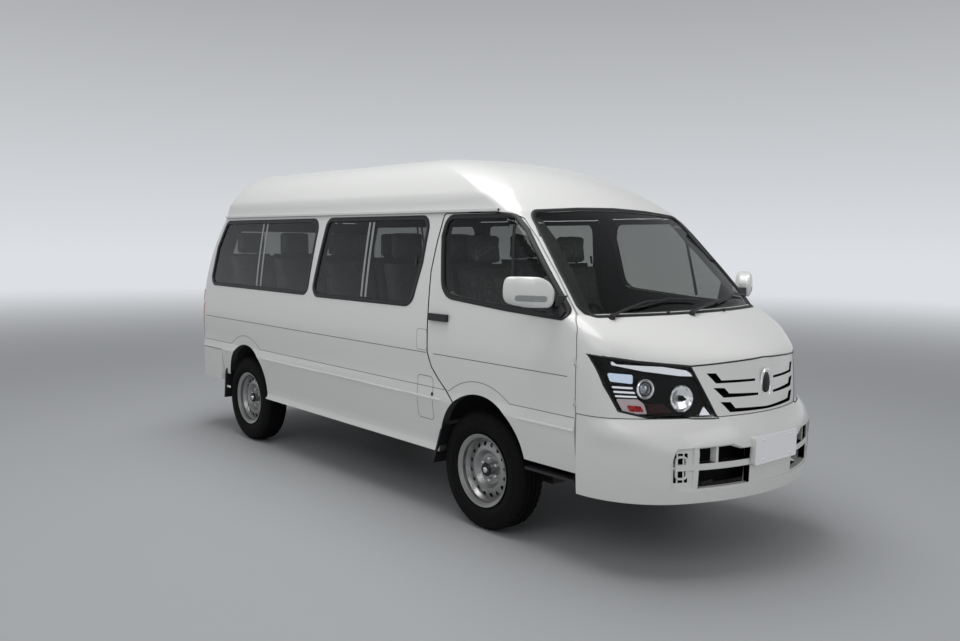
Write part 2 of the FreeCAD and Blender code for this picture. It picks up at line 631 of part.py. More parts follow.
def revolved(label, points):
    """A ring or wheel whose half section is drawn as (radius, along the axle) points."""
    body = doc.addObject("PartDesign::Body", label)
    body.Label = label
    plane = [item for item in body.Origin.OriginFeatures if item.Role == "XY_Plane"][0]
    sketch = body.newObject("Sketcher::SketchObject", label + "_section")
    sketch.AttachmentSupport = (plane, [""])
    sketch.MapMode = "FlatFace"
    corners = [Vector(radius, along, 0) for radius, along in points]
    for i, corner in enumerate(corners):
        sketch.addGeometry(Part.LineSegment(corner, corners[(i + 1) % len(corners)]), False)
    for i in range(len(corners)):
        sketch.addConstraint(Sketcher.Constraint("Coincident", i, 2, (i + 1) % len(corners), 1))
    turned = body.newObject("PartDesign::Revolution", label + "_turned")
    turned.Profile = sketch
    turned.ReferenceAxis = (sketch, ["V_Axis"])
    turned.Angle = 360
    body.Tip = turned
    doc.recompute()
    return body


def place_wheel(body, x, side):
    turn = 180 if side < 0 else 0
    body.Placement = Placement(Vector(AXLE_X + x, side * TRACK / 2, RADIUS), Rotation(Vector(0, 0, 1), turn))
    nodes.append(body)


tyre_points = [(r, -y) for r, y in TYRE_PROFILE] + [(r, y) for r, y in reversed(TYRE_PROFILE)]
wheel_points = list(WHEEL_OUTER) + [
    (186, -80), (182, -50), (164, -34), (164, 20), (150, 30), (128, 36), (104, 30), (88, 14), (70, 10), (0.001, 10),
    (0.001, 52), (30, 52), (40, 46), (42, 18), (84, 22), (100, 38), (128, 44), (152, 38), (166, 30), (182, 46),
    (183, 70), (200, 82),
]
CORNERS = (("front_right", 0, -1), ("front_left", 0, 1), ("rear_right", REAR_X, -1), ("rear_left", REAR_X, 1))
for name, axle, side in CORNERS:
    place_wheel(revolved("tyre_" + name, tyre_points), axle, side)
    place_wheel(revolved("wheel_" + name, wheel_points), axle, side)


def axle_rod(radius, x, z, y_from, y_to):
    return Part.makeCylinder(radius, y_to - y_from, Vector(x, y_from, z), Vector(0, 1, 0))


def pillar(radius, x, y, z_from, z_to):
    return Part.makeCylinder(radius, z_to - z_from, Vector(x, y, z_from))


hub_face = TRACK / 2 + 10 - CLEAR
stub = axle_rod(30, 0, RADIUS, -hub_face, -KINGPIN_Y)
hub_flange = axle_rod(66, 0, RADIUS, -hub_face, -hub_face + 14)
upright = pillar(28, 0, -KINGPIN_Y, 262 + CLEAR, 440 - CLEAR)
knuckle = upright.fuse([stub, hub_flange])
piece("knuckle_right", knuckle)
piece("knuckle_left", other_side(knuckle))

lower_arm = box(-40, 40, -KINGPIN_Y - 20, -330, 208, 238)
lower_ball = pillar(20, 0, -KINGPIN_Y, 230, 262)
upper_arm = box(-30, 30, -KINGPIN_Y - 20, -400, 440, 462)
arms = [lower_arm.fuse(lower_ball), upper_arm]
piece("front_suspension", *(arms + [other_side(arm) for arm in arms]))

axle_tube = axle_rod(38, REAR_X, RADIUS, -hub_face, hub_face)
drums = [axle_rod(130, REAR_X, RADIUS, -hub_face, -hub_face + 60), axle_rod(130, REAR_X, RADIUS, hub_face - 60,
                                                                           hub_face)]
differential = axle_rod(115, REAR_X, RADIUS, -90, 90)
piece("rear_axle", axle_tube.fuse(drums + [differential]))


def spring_leaf(half_length, low, thick):
    ends = low + 60 * (half_length / 600) ** 2
    top = Part.Arc(Vector(REAR_X - half_length, -495, ends + thick), Vector(REAR_X, -495, low + thick),
                   Vector(REAR_X + half_length, -495, ends + thick)).toShape()
    under = Part.Arc(Vector(REAR_X + half_length, -495, ends), Vector(REAR_X, -495, low),
                     Vector(REAR_X - half_length, -495, ends)).toShape()
    back = Part.LineSegment(under.Vertexes[-1].Point, top.Vertexes[0].Point).toShape()
    front = Part.LineSegment(top.Vertexes[-1].Point, under.Vertexes[0].Point).toShape()
    return Part.Face(Part.Wire([top, front, under, back])).extrude(Vector(0, 60, 0))


leaves = spring_leaf(600, 379, 10).fuse([spring_leaf(450, 389, 8), spring_leaf(260, 397, 8)])
hangers = [box(REAR_X + end * 590 - 25, REAR_X + end * 590 + 25, -500, -430, 425, rail_low) for end in (-1, 1)]
leaves = leaves.fuse(hangers)
piece("leaf_springs", leaves, other_side(leaves))

# Cab fittings

dash_profile = ((440, 1150), (490, 1215), (770, 1262), (790, 900), (640, 860), (520, 880), (450, 1000))
dash_block = side_prism(dash_profile, -FAR, FAR, 0.0)
dash = cab_space.common(dash_block).fuse(cabin.common(dash_block).common(box(640, FAR, -500, 500, 0, FAR)))

WHEEL_TILT = 62
wheel_centre = Vector(330, -size("seat_y"), 1130)
column_line = Vector(math.cos(math.radians(90 - WHEEL_TILT)), 0, -math.sin(math.radians(90 - WHEEL_TILT)))
rim = Part.makeTorus(size("steering_wheel_radius") - 14, 14, wheel_centre, column_line)
boss = Part.makeCylinder(50, 40, wheel_centre - column_line * 5, column_line)
spokes = [box(-11, 11, -185, 185, -8, 8), box(-185, 0, -14, 14, -8, 8)]
for spoke in spokes:
    spoke.rotate(Vector(0, 0, 0), Vector(0, 1, 0), 180 - WHEEL_TILT)
    spoke.translate(wheel_centre + column_line * 8)
piece("steering_wheel", rim.fuse([boss] + spokes))
column = Part.makeCylinder(24, 150, wheel_centre + column_line * (35 + CLEAR), column_line)
piece("dashboard", dash.fuse(column))

# Seats


def seat(y_middle, width, back_x, base_z, lean, back_height):
    """Cushion, back and headrest of one seat, with the frame that carries them."""
    low, high = y_middle - width / 2, y_middle + width / 2
    cushion = side_prism(((back_x + 20, base_z), (back_x + 500, base_z), (back_x + 510, base_z + 140),
                          (back_x + 30, base_z + 120)), low, high, 30)
    top = base_z + back_height
    back = side_prism(((back_x - 10, base_z + 130), (back_x + 100, base_z + 130),
                       (back_x + 20 - lean, top), (back_x - 70 - lean, top)), low, high, 30)
    head = side_prism(((back_x - 75 - lean, top + 40), (back_x + 15 - lean, top + 40),
                       (back_x + 5 - lean, top + 190), (back_x - 75 - lean, top + 190)),
                      y_middle - 130, y_middle + 130, 25)
    return cushion, back, head


def seat_frame(y_middle, width, back_x, base_z, lean, back_height, foot_z):
    low, high = y_middle - width / 2 + 20, y_middle + width / 2 - 20
    top = base_z + back_height
    tray = box(back_x - 60, back_x + 480, low, high, base_z - 25, base_z - CLEAR)
    leg_outline = ((back_x, foot_z), (back_x + 400, foot_z), (back_x + 460, base_z - 25), (back_x - 20, base_z - 25))
    legs = [side_prism(leg_outline, y, y + 25) for y in (low, high - 25)]
    spine = side_prism(((back_x - 28, base_z - 25), (back_x - 10 - CLEAR, base_z - 25),
                        (back_x - 10 - CLEAR, base_z + 130), (back_x - 70 - CLEAR - lean, top),
                        (back_x - 88 - lean, top), (back_x - 28, base_z + 128)), low, high, 0.0)
    posts = [pillar(8, back_x - 30 - lean, y_middle + y, top + CLEAR, top + 40 - CLEAR) for y in (-60, 60)]
    frame = tray.fuse(legs + [spine]).cut(tub_rooms)
    return [frame] + posts


cushions = []
frames = []
tub_rooms = [rear_tub.common(box(-FAR, FAR, -FAR, -560, 0, FAR)), rear_tub.common(box(-FAR, FAR, 560, FAR, 0, FAR))]
for side in (-1, 1):
    cushions += seat(side * size("seat_y"), size("seat_width"), -380, box_top + 40, 60, 620)
    frames += seat_frame(side * size("seat_y"), size("seat_width"), -380, box_top + 40, 60, 620, box_top)
piece("front_seats", *cushions)

benches = []
for row_number in range(4):
    back_x = -size("first_row_x") - row_number * size("row_pitch")
    for y_middle, width in ((-520, 430), (-85, 430), (545, 380)):
        benches += seat(y_middle, width, back_x, 900, 60, 600)
        frames += seat_frame(y_middle, width, back_x, 900, 60, 600, FLOOR)
piece("rear_benches", *benches)
piece("seat_frames", *frames)

# Outside fittings

flap = side_prism(((-318, 560), (-310, 560), (-397, 312), (-405, 312)), -838, -620, 0.0)
rear_flap = side_prism(((-3233, 600), (-3225, 600), (-3258, 299), (-3266, 299)), -838, -620, 0.0)
below_floor = box(-FAR, FAR, -FAR, 0, 0, RAIL_TOP - CLEAR)
flaps = [flap.common(below_floor).cut(flank_right), rear_flap.common(below_floor).cut(flank_right)]
piece("mud_flaps", *(flaps + [other_side(shape) for shape in flaps]))
step = box(393, 752, -838, -560, 440, 453)
step = step.fuse([box(x, x + 30, -740, -700, 453, size("footwell_z") - 20) for x in (460, 640)])
piece("side_steps", step, other_side(step))
handle_y = flank(1166) + CLEAR
handle = box(-437, -265, -handle_y - 20, -handle_y, 1166, 1208)
piece("handle_right", handle)
piece("handle_left", other_side(handle))
mirror_plan = ((606, -850), (622, -880), (580, -960), (490, -1050), (440, -1060), (418, -1025), (480, -915), (548, -850))
mirror_face = outline_face([Vector(x, y, 1312) for x, y in mirror_plan], [5, 15, 60, 40, 20, 20, 30, 10])
neck = box(548, 606, -860, -740, 1312, 1365)
mirror_shell = mirror_face.extrude(Vector(0, 0, 148)).fuse(neck)
mirror_foot = side_prism(((540, 1262), (632, 1262), (640, 1290), (560, 1372), (530, 1372)), -FAR, -300, 0.0)
foot_plate = body_solid(-16).cut(body_solid(-CLEAR)).common(mirror_foot)
mirror = mirror_shell.cut(body_solid(-CLEAR)).fuse(foot_plate)
piece("mirror_right", mirror)
piece("mirror_left", other_side(mirror))

# Check and write

doc.recompute()
os.makedirs("parts", exist_ok=True)
failed = [obj.Label for obj in doc.Objects if "Invalid" in obj.State or "Error" in obj.State]
for node in nodes:
    if node.Shape.isNull() or not node.Shape.isValid() or not node.Shape.Solids:
        failed.append(node.Label)
if failed:
    raise RuntimeError("these pieces failed: " + ", ".join(failed))
for node in nodes:
    node.Shape.exportStep(os.path.join("parts", node.Label + ".step"))
print(len(nodes), "pieces written")
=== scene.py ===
import json
import math

import bmesh
import bpy
from bpy.props import FloatProperty, FloatVectorProperty, PointerProperty
from mathutils import Matrix, Vector
from mathutils.bvhtree import BVHTree

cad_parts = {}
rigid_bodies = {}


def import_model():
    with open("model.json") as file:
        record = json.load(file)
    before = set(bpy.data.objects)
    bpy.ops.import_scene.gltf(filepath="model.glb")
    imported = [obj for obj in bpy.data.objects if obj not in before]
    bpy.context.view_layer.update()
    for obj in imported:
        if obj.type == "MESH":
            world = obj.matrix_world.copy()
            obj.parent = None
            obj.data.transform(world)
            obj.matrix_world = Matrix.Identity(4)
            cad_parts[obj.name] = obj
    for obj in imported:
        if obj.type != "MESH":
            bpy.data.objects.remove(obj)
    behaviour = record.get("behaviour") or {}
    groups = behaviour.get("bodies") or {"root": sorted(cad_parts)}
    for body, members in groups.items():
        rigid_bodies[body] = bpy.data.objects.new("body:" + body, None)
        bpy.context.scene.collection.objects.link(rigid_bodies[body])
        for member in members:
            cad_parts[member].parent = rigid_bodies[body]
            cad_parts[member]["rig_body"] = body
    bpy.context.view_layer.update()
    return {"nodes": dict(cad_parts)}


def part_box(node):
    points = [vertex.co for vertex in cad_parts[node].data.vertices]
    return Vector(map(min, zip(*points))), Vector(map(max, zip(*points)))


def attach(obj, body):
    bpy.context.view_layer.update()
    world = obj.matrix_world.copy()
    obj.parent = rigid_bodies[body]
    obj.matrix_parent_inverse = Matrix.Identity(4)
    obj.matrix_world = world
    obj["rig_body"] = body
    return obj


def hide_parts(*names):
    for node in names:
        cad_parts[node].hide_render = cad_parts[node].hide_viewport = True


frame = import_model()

bl_info = {
    "name": "Minibus looks",
    "version": (1, 0, 0),
    "blender": (4, 5, 0),
    "location": "View3D > Sidebar > Minibus",
    "description": "Finishes and fine pieces of a high-roofed minibus around its fixed frame",
    "category": "Object",
}

MM = 0.001
front_tyre_low, front_tyre_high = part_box("tyre_front_right")
AXLE = (front_tyre_low.x + front_tyre_high.x) / 2
SHARP = math.radians(32)
WHEEL_SHARP, TREAD_SHARP, MIRROR_SHARP = math.radians(26), math.radians(24), math.radians(60)
SIDES = ((-1, "right"), (1, "left"))
FORWARD = Vector((1, 0, 0))

# What counts as facing the cabin: above its floor, towards a heart that moves along it, or just behind the screen
CABIN_LOW, HEART_HIGH, REAR_WALL, SCREEN_REACH = 0.25, 0.9, AXLE - 3.5, 0.6
HEART_REAR, HEART_FRONT, CABIN_TURN = REAR_WALL + 0.9, AXLE - 0.3, 0.4


# The sizes and colours that a user would change

class PaintSettings(bpy.types.PropertyGroup):
    """Colours and gloss of the bodywork and its trim."""

    body: FloatVectorProperty(name="Body colour", description="Gloss paint of the bodywork", subtype="COLOR",
                              size=3, min=0, max=1, default=(0.72, 0.725, 0.705))
    gloss: FloatProperty(name="Clear coat", description="Strength of the paint's clear coat", min=0, max=1,
                         default=0.55)
    # The road dust slider also sets the painted shade low on the bodywork.
    dust_and_shade: FloatProperty(name="Road dust", description="Dust on the lower bodywork", min=0, max=1, default=0.10)
    wheel: FloatVectorProperty(name="Wheel colour", description="Silver paint of the steel wheels",
                               subtype="COLOR", size=3, min=0, max=1, default=(0.36, 0.36, 0.355))
    rubber: FloatVectorProperty(name="Rubber colour", description="Window and door seals", subtype="COLOR",
                                size=3, min=0, max=1, default=(0.012, 0.012, 0.013))
    cloth: FloatVectorProperty(name="Seat cloth", description="Cloth of seats and benches", subtype="COLOR",
                               size=3, min=0, max=1, default=(0.075, 0.078, 0.08))


class TrimSettings(bpy.types.PropertyGroup):
    """Sizes of the seals and wipers."""

    seal_width: FloatProperty(name="Seal width", description="Width of a window's rubber seal", unit="LENGTH",
                              min=0.01, max=0.06, default=0.030)
    seal_height: FloatProperty(name="Seal height", description="How far a seal stands out of the skin",
                               unit="LENGTH", min=0.001, max=0.01, default=0.004)
    wiper_width: FloatProperty(name="Wiper blade", description="Width of a wiper's blade", unit="LENGTH",
                               min=0.004, max=0.03, default=0.012)


# Places and small helpers

def at(x, y, z):
    """A point given in millimetres, with x measured forward from the front axle."""
    return Vector((AXLE + x * MM, y * MM, z * MM))


def mirrored(outline, side):
    """A right-hand (y, z) outline as it lies on one side."""
    return [(-side * y, z) for y, z in outline]


def linked(name, data):
    """A new object in the scene that carries the data."""
    made = bpy.data.objects.new(name, data)
    bpy.context.scene.collection.objects.link(made)
    return made


def mesh_of(name, bm):
    """The mesh that a bmesh describes. The bmesh is freed."""
    mesh = bpy.data.meshes.new(name)
    bm.to_mesh(mesh)
    bm.free()
    return mesh


def new_verts(made):
    """The vertices among what a bmesh operator made."""
    return [item for item in made if isinstance(item, bmesh.types.BMVert)]


def shade(bm, sharp):
    """Shades a bmesh smooth up to an angle."""
    for face in bm.faces:
        face.smooth = True
    for edge in bm.edges:
        edge.smooth = len(edge.link_faces) == 2 and edge.calc_face_angle(math.pi) < sharp


def finish_mesh(name, bm, finish, body="root", sharp=SHARP):
    """The piece that a bmesh describes, shaded smooth up to an angle, riding on its body."""
    shade(bm, sharp)
    mesh = mesh_of(name, bm)
    mesh.materials.append(FINISHES[finish])
    piece = linked(name, mesh)
    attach(piece, body)
    return piece


def merged_node(node):
    """A bmesh copy of a frame node with its loose triangles joined."""
    bm = bmesh.new()
    bm.from_mesh(frame["nodes"][node].data)
    for layer in list(bm.loops.layers.float_vector.values()):
        bm.loops.layers.float_vector.remove(layer)
    bmesh.ops.remove_doubles(bm, verts=bm.verts, dist=0.02 * MM)
    bmesh.ops.dissolve_degenerate(bm, edges=bm.edges, dist=0.01 * MM)
    return bm


def faces_cabin_or_gap(face):
    """Whether a panel's face looks into the cabin, or along the gap that it shuts with. Faces along a gap and the
    walls of recesses take the dark lining as painted shade.
    """
    centre = face.calc_center_median()
    if GLASS.ray_cast(centre + face.normal * 2 * MM, FORWARD, SCREEN_REACH)[0] is not None:
        return True
    heart = Vector((min(max(centre.x, HEART_REAR), HEART_FRONT), 0.0, HEART_HIGH))
    return centre.z > CABIN_LOW and face.normal.dot((centre - heart).normalized()) < CABIN_TURN


def dress(node, finish, lining=None):
    """A smooth copy of a frame node that stands for it. Its inner faces take the lining, if there is one: a dark cabin
    lining, which on panel edges along the gaps and on recess walls is painted shade.
    """
    bm = merged_node(node)
    if lining:
        bm.normal_update()
        for face in bm.faces:
            face.material_index = int(faces_cabin_or_gap(face))
    piece = finish_mesh(node + "_finish", bm, finish, frame["nodes"][node]["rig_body"])
    if lining:
        piece.data.materials.append(FINISHES[lining])
    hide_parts(node)


def paint_node(node, finish):
    """A frame node that keeps its own mesh and gets a finish."""
    mesh = frame["nodes"][node].data
    mesh.materials.clear()
    mesh.materials.append(FINISHES[finish])


# The skin that trims are laid on: rays from outside find it

PAINTED = ("side_right", "side_left", "sliding_door", "door_right", "door_left", "roof", "a_pillars", "front_panel",
           "tailgate", "tail_panel", "bumper_front", "bumper_rear", "grille")
LINED_AND_GAP_SHADED = [node for node in PAINTED if not node.startswith(("bumper", "tail_panel"))]
SKIN_NODES = [node for node in PAINTED if node != "tail_panel"] + ["headlamps"]
PANES = ("side_windows", "sliding_door_glass", "door_glass_right", "door_glass_left", "windscreen")


def search_tree(nodes, own=()):
    """A search tree of several frame nodes and pieces made here."""
    joined = bmesh.new()
    for node in nodes:
        joined.from_mesh(frame["nodes"][node].data)
    for name in own:
        joined.from_mesh(bpy.data.objects[name].data)
    tree = BVHTree.FromBMesh(joined)
    joined.free()
    return tree


SKIN = search_tree(SKIN_NODES)
GLASS = search_tree(PANES)


def on_side(x, z, side, tree=SKIN):
    """The skin's point and normal seen from one side, for side -1 on the right and 1 on the left."""
    place, normal, _, _ = tree.ray_cast(at(x, side * 2000, z), Vector((0, -side, 0)))
    return place, normal


def on_end(y, z, end, tree=SKIN):
    """The skin's point and normal seen from the front with end 1, or from behind with end -1."""
    start = at(0, y, z)
    start.x = end * 4
    place, normal, _, _ = tree.ray_cast(start, Vector((-end, 0, 0)))
    return place, normal


UNDIVIDED = 400.0


def rounded(points, radii, closed=True, step=45.0):
    """An outline's points with its corners rounded and its straights divided, for points in one plane."""
    corners = [Vector(point) for point in points]
    count = len(corners)
    path = []
    for i, corner in enumerate(corners):
        radius = radii[i] if isinstance(radii, (list, tuple)) else radii
        if radius <= 0 or (not closed and i in (0, count - 1)):
            path.append(corner)
            continue
        before = (corners[i - 1] - corner).normalized()
        after = (corners[(i + 1) % count] - corner).normalized()
        half = before.angle(after) / 2
        reach = radius / math.tan(half)
        centre = corner + (before + after).normalized() * (radius / math.sin(half))
        start, end = corner + before * reach - centre, corner + after * reach - centre
        turn = start.angle_signed(end)
        parts = max(3, int(abs(turn) * 6))
        for k in range(parts + 1):
            angle = -turn * k / parts
            spun = Vector((start.x * math.cos(angle) - start.y * math.sin(angle),
                           start.x * math.sin(angle) + start.y * math.cos(angle)))
            path.append(centre + spun)
    divided = []
    for i, point in enumerate(path):
        divided.append(point)
        if i == len(path) - 1 and not closed:
            break
        following = path[(i + 1) % len(path)]
        parts = int((following - point).length / step)
        divided += [point.lerp(following, k / (parts + 1)) for k in range(1, parts + 1)]
    return divided


def sweep(bm, places, normals, profile, closed):
    """Carries a closed profile of (across, out) points along a path on the skin."""
    count = len(places)
    rings = []
    edges = None
    for i in range(count):
        ahead = places[(i + 1) % count] if closed or i < count - 1 else places[i]
        behind = places[i - 1] if closed or i > 0 else places[i]
        along = (ahead - behind).normalized()
        normal = normals[i]
        across = along.cross(normal).normalized()
        out = across.cross(along).normalized()
        spots = [places[i] + across * a + out * b for a, b in profile]
        if edges is None:
            ring = [bm.verts.new(spot) for spot in spots]
            edges = [bm.edges.new((ring[k], ring[(k + 1) % len(ring)])) for k in range(len(ring))]
        else:
            made = bmesh.ops.extrude_edge_only(bm, edges=edges)["geom"]
            edges = [item for item in made if isinstance(item, bmesh.types.BMEdge)
                     and all(vert in made for vert in item.verts)]
            ring = order_ring(rings[-1], made)
            edges = [bm.edges.get((ring[k], ring[(k + 1) % len(ring)])) for k in range(len(ring))]
            for vert, spot in zip(ring, spots):
                vert.co = spot
        rings.append(ring)
    first = [bm.edges.get((rings[0][k], rings[0][(k + 1) % len(profile)])) for k in range(len(profile))]
    if closed:
        bmesh.ops.bridge_loops(bm, edges=edges + first)
    else:
        bmesh.ops.contextual_create(bm, geom=first)
        bmesh.ops.contextual_create(bm, geom=edges)
    bmesh.ops.recalc_face_normals(bm, faces=bm.faces)


def order_ring(last, made):
    """The new vertices of an extruded ring, in the order of the ring that they came from."""
    fresh = set(new_verts(made))
    ring = []
    for vert in last:
        ring.append(next(edge.other_vert(vert) for edge in vert.link_edges if edge.other_vert(vert) in fresh))
    return ring


# Finishes

MIX_FIRST, MIX_SECOND, MIX_RESULT = 6, 7, 2


def new_finish(name):
    """A new material with its node tree and its Principled shader."""
    material = bpy.data.materials.new(name)
    material.use_nodes = True
    tree = material.node_tree
    return material, tree, tree.nodes["Principled BSDF"]


def new_effect(name, inputs, outputs):
    """A node group with number inputs, its tree, and its two ends."""
    tree = bpy.data.node_groups.new(name, "ShaderNodeTree")
    for label, default in inputs:
        socket = tree.interface.new_socket(label, in_out="INPUT", socket_type="NodeSocketFloat")
        socket.default_value = default
    for label in outputs:
        tree.interface.new_socket(label, in_out="OUTPUT", socket_type="NodeSocketFloat")
    return tree, tree.nodes.new("NodeGroupInput"), tree.nodes.new("NodeGroupOutput")


def add_node(tree, kind, links=(), **settings):
    """A node with its settings and input values. A link names an input and the socket that feeds it."""
    node = tree.nodes.new(kind)
    values = settings.pop("values", {})
    for key, value in settings.items():
        setattr(node, key, value)
    for key, value in values.items():
        node.inputs[key].default_value = value
    for key, socket in links:
        tree.links.new(node.inputs[key], socket)
    return node


def object_place(tree):
    """The place on a piece, in its own coordinates."""
    return add_node(tree, "ShaderNodeTexCoord").outputs["Object"]


def worked(tree, operation, first, second, **settings):
    """The number that an operation makes of two sockets."""
    node = add_node(tree, "ShaderNodeMath", ((0, first), (1, second)), operation=operation, **settings)
    return node.outputs["Value"]


def colour_mix(tree, mask, first, second):
    """A colour that runs from the first to the second with a mask."""
    mix = add_node(tree, "ShaderNodeMix", (("Factor", mask),), data_type="RGBA",
                   values={MIX_FIRST: (*first, 1), MIX_SECOND: (*second, 1)})
    return mix.outputs[MIX_RESULT]


def show_mix(tree, end, mask, first, second):
    """Two shaders mixed by a mask and shown at the tree's end."""
    mix = add_node(tree, "ShaderNodeMixShader", ((0, mask), (1, first), (2, second)))
    tree.links.new(tree.nodes[end].inputs["Surface"], mix.outputs["Shader"])


def effect(tree, name, values):
    """An effect placed in a material with its own values."""
    node = tree.nodes.new("ShaderNodeGroup")
    node.node_tree = bpy.data.node_groups[name]
    for key, value in values.items():
        node.inputs[key].default_value = value
    return node


def build_effects():
    """The effects that several finishes share."""
    tree, start, end = new_effect("fine_grain", (("Scale", 900.0), ("Roughness", 0.6)), ("Height",))
    noise = add_node(tree, "ShaderNodeTexNoise", (("Vector", object_place(tree)), ("Scale", start.outputs["Scale"]),
                                                  ("Roughness", start.outputs["Roughness"])), values={"Detail": 3.0})
    tree.links.new(end.inputs["Height"], noise.outputs["Fac"])

    # A mask that grows towards the bottom in patches: road dust, and painted shade where the bodywork and the number
    # plate take it.
    tree, start, end = new_effect("low_dust_and_shade", (("Top", 0.9), ("Amount", 0.5)), ("Dust and shade",))
    where = object_place(tree)
    parts = add_node(tree, "ShaderNodeSeparateXYZ", (("Vector", where),))
    noise = add_node(tree, "ShaderNodeTexNoise", (("Vector", where),),
                     values={"Scale": 7.0, "Detail": 6.0, "Roughness": 0.7})
    low = add_node(tree, "ShaderNodeMapRange", (("Value", parts.outputs["Z"]), ("From Max", start.outputs["Top"])),
                   values={"From Min": 0.25, "To Min": 1.0, "To Max": 0.0})
    patches = worked(tree, "MULTIPLY", low.outputs["Result"], noise.outputs["Fac"])
    tree.links.new(end.inputs["Dust and shade"], worked(tree, "MULTIPLY", patches, start.outputs["Amount"], use_clamp=True))

    tree, start, end = new_effect("weave", (("Threads", 900.0), ("Sharpness", 1.0)), ("Height",))
    where = object_place(tree)
    bands = [add_node(tree, "ShaderNodeTexWave", (("Vector", where), ("Scale", start.outputs["Threads"])),
                      bands_direction=direction, values={"Distortion": 0.4, "Detail": 1.0}).outputs["Fac"]
             for direction in ("X", "Z", "Y")]
    threads = worked(tree, "ADD", worked(tree, "MULTIPLY", bands[0], bands[1]), bands[2])
    tree.links.new(end.inputs["Height"], worked(tree, "MULTIPLY", threads, start.outputs["Sharpness"]))

    tree, start, end = new_effect("creases", (("Scale", 9.0), ("Tightness", 1.0)), ("Height",))
    warp = add_node(tree, "ShaderNodeTexNoise", (("Vector", object_place(tree)), ("Scale", start.outputs["Scale"])),
                    values={"Detail": 4.0, "Distortion": 1.2})
    fold = add_node(tree, "ShaderNodeTexVoronoi", (("Vector", warp.outputs["Color"]),
                                                   ("Scale", start.outputs["Tightness"])),
                    feature="SMOOTH_F1")
    tree.links.new(end.inputs["Height"], fold.outputs["Distance"])


def bumped(tree, shader, height, distance, strength=1.0):
    """Feeds a height to the shader's normal."""
    bump = add_node(tree, "ShaderNodeBump", (("Height", height),),
                    values={"Distance": distance, "Strength": strength})
    tree.links.new(shader.inputs["Normal"], bump.outputs["Normal"])
    return bump


def two_tone(tree, shader, mask, first, second):
    """Gives the shader a base colour that runs from the first to the second with a mask."""
    tree.links.new(shader.inputs["Base Color"], colour_mix(tree, mask, first, second))


def times(colour, share):
    """A colour made darker or lighter."""
    return tuple(share * part for part in colour)


def set_shader(shader, **values):
    """Plain values on the shader's own sockets, with words joined by underscores."""
    for key, value in values.items():
        socket = shader.inputs[key.replace("_", " ")]
        socket.default_value = (*value, 1) if isinstance(value, tuple) and len(value) == 3 else value


def white_paint():
    """Gloss white over steel, with a faint flow in the coat, and darker in patches low down: a little road dust and
    painted shade.
    """
    looks = bpy.context.scene.minibus_paint
    material, tree, shader = new_finish("white_paint")
    set_shader(shader, Roughness=0.34, Coat_Weight=looks.gloss, Coat_Roughness=0.06, Specular_IOR_Level=0.45)
    # Darker patches low down: road dust and painted shade.
    dust_and_shade = effect(tree, "low_dust_and_shade", {"Top": 0.75, "Amount": looks.dust_and_shade * 2})
    body = tuple(looks.body)
    two_tone(tree, shader, dust_and_shade.outputs["Dust and shade"], body, times(body, 0.72))
    flow = effect(tree, "fine_grain", {"Scale": 260.0, "Roughness": 0.4})
    bumped(tree, shader, flow.outputs["Height"], 0.00004, 0.5)
    return material


def plastic(name, colour, roughness, grain=1400.0, depth=0.00012, specular=0.4):
    """Moulded plastic or rubber with a fine grain."""
    material, tree, shader = new_finish(name)
    set_shader(shader, Roughness=roughness, Specular_IOR_Level=specular)
    grains = effect(tree, "fine_grain", {"Scale": grain, "Roughness": 0.5})
    two_tone(tree, shader, grains.outputs["Height"], colour, times(colour, 1.35))
    bumped(tree, shader, grains.outputs["Height"], depth, 0.6)
    return material


def dusted_and_shaded(name, colour, dust_and_shade_colour, roughness, top, amount, metallic=0.0, grain=500.0, depth=0.0002, specular=0.5):
    """A hard finish that takes a second colour in patches low down: road dust on the tyres, wheels and chassis,
    painted shade on the number plate.
    """
    material, tree, shader = new_finish(name)
    set_shader(shader, Roughness=roughness, Metallic=metallic, Specular_IOR_Level=specular)
    dust_and_shade = effect(tree, "low_dust_and_shade", {"Top": top, "Amount": amount})
    two_tone(tree, shader, dust_and_shade.outputs["Dust and shade"], colour, dust_and_shade_colour)
    grains = effect(tree, "fine_grain", {"Scale": grain, "Roughness": 0.6})
    bumped(tree, shader, grains.outputs["Height"], depth, 0.5)
    return material


def pane(name, colour, roughness=0.0, index=1.3):
    """Tinted glass that lets light through to what is behind it."""
    material, tree, shader = new_finish(name)
    set_shader(shader, Base_Color=colour, Roughness=roughness, Transmission_Weight=1.0, IOR=index)
    clear = add_node(tree, "ShaderNodeBsdfTransparent", values={"Color": (*colour, 1)})
    path = add_node(tree, "ShaderNodeLightPath")
    show_mix(tree, "Material Output", path.outputs["Is Shadow Ray"], shader.outputs["BSDF"], clear.outputs["BSDF"])
    return material


def metal(name, colour, roughness, painted_reflection=0.0):
    """Bright or painted metal with fine brushing. Its glow is a painted reflection: it stands for what the metal
    mirrors inside a lamp.
    """
    material, tree, shader = new_finish(name)
    set_shader(shader, Metallic=1.0, Emission_Color=colour, Emission_Strength=painted_reflection)
    grains = effect(tree, "fine_grain", {"Scale": 700.0, "Roughness": 0.7})
    spread = add_node(tree, "ShaderNodeMapRange", (("Value", grains.outputs["Height"]),),
                      values={"To Min": roughness * 0.8, "To Max": roughness * 1.25})
    tree.links.new(shader.inputs["Roughness"], spread.outputs["Result"])
    two_tone(tree, shader, grains.outputs["Height"], colour, times(colour, 0.85))
    return material


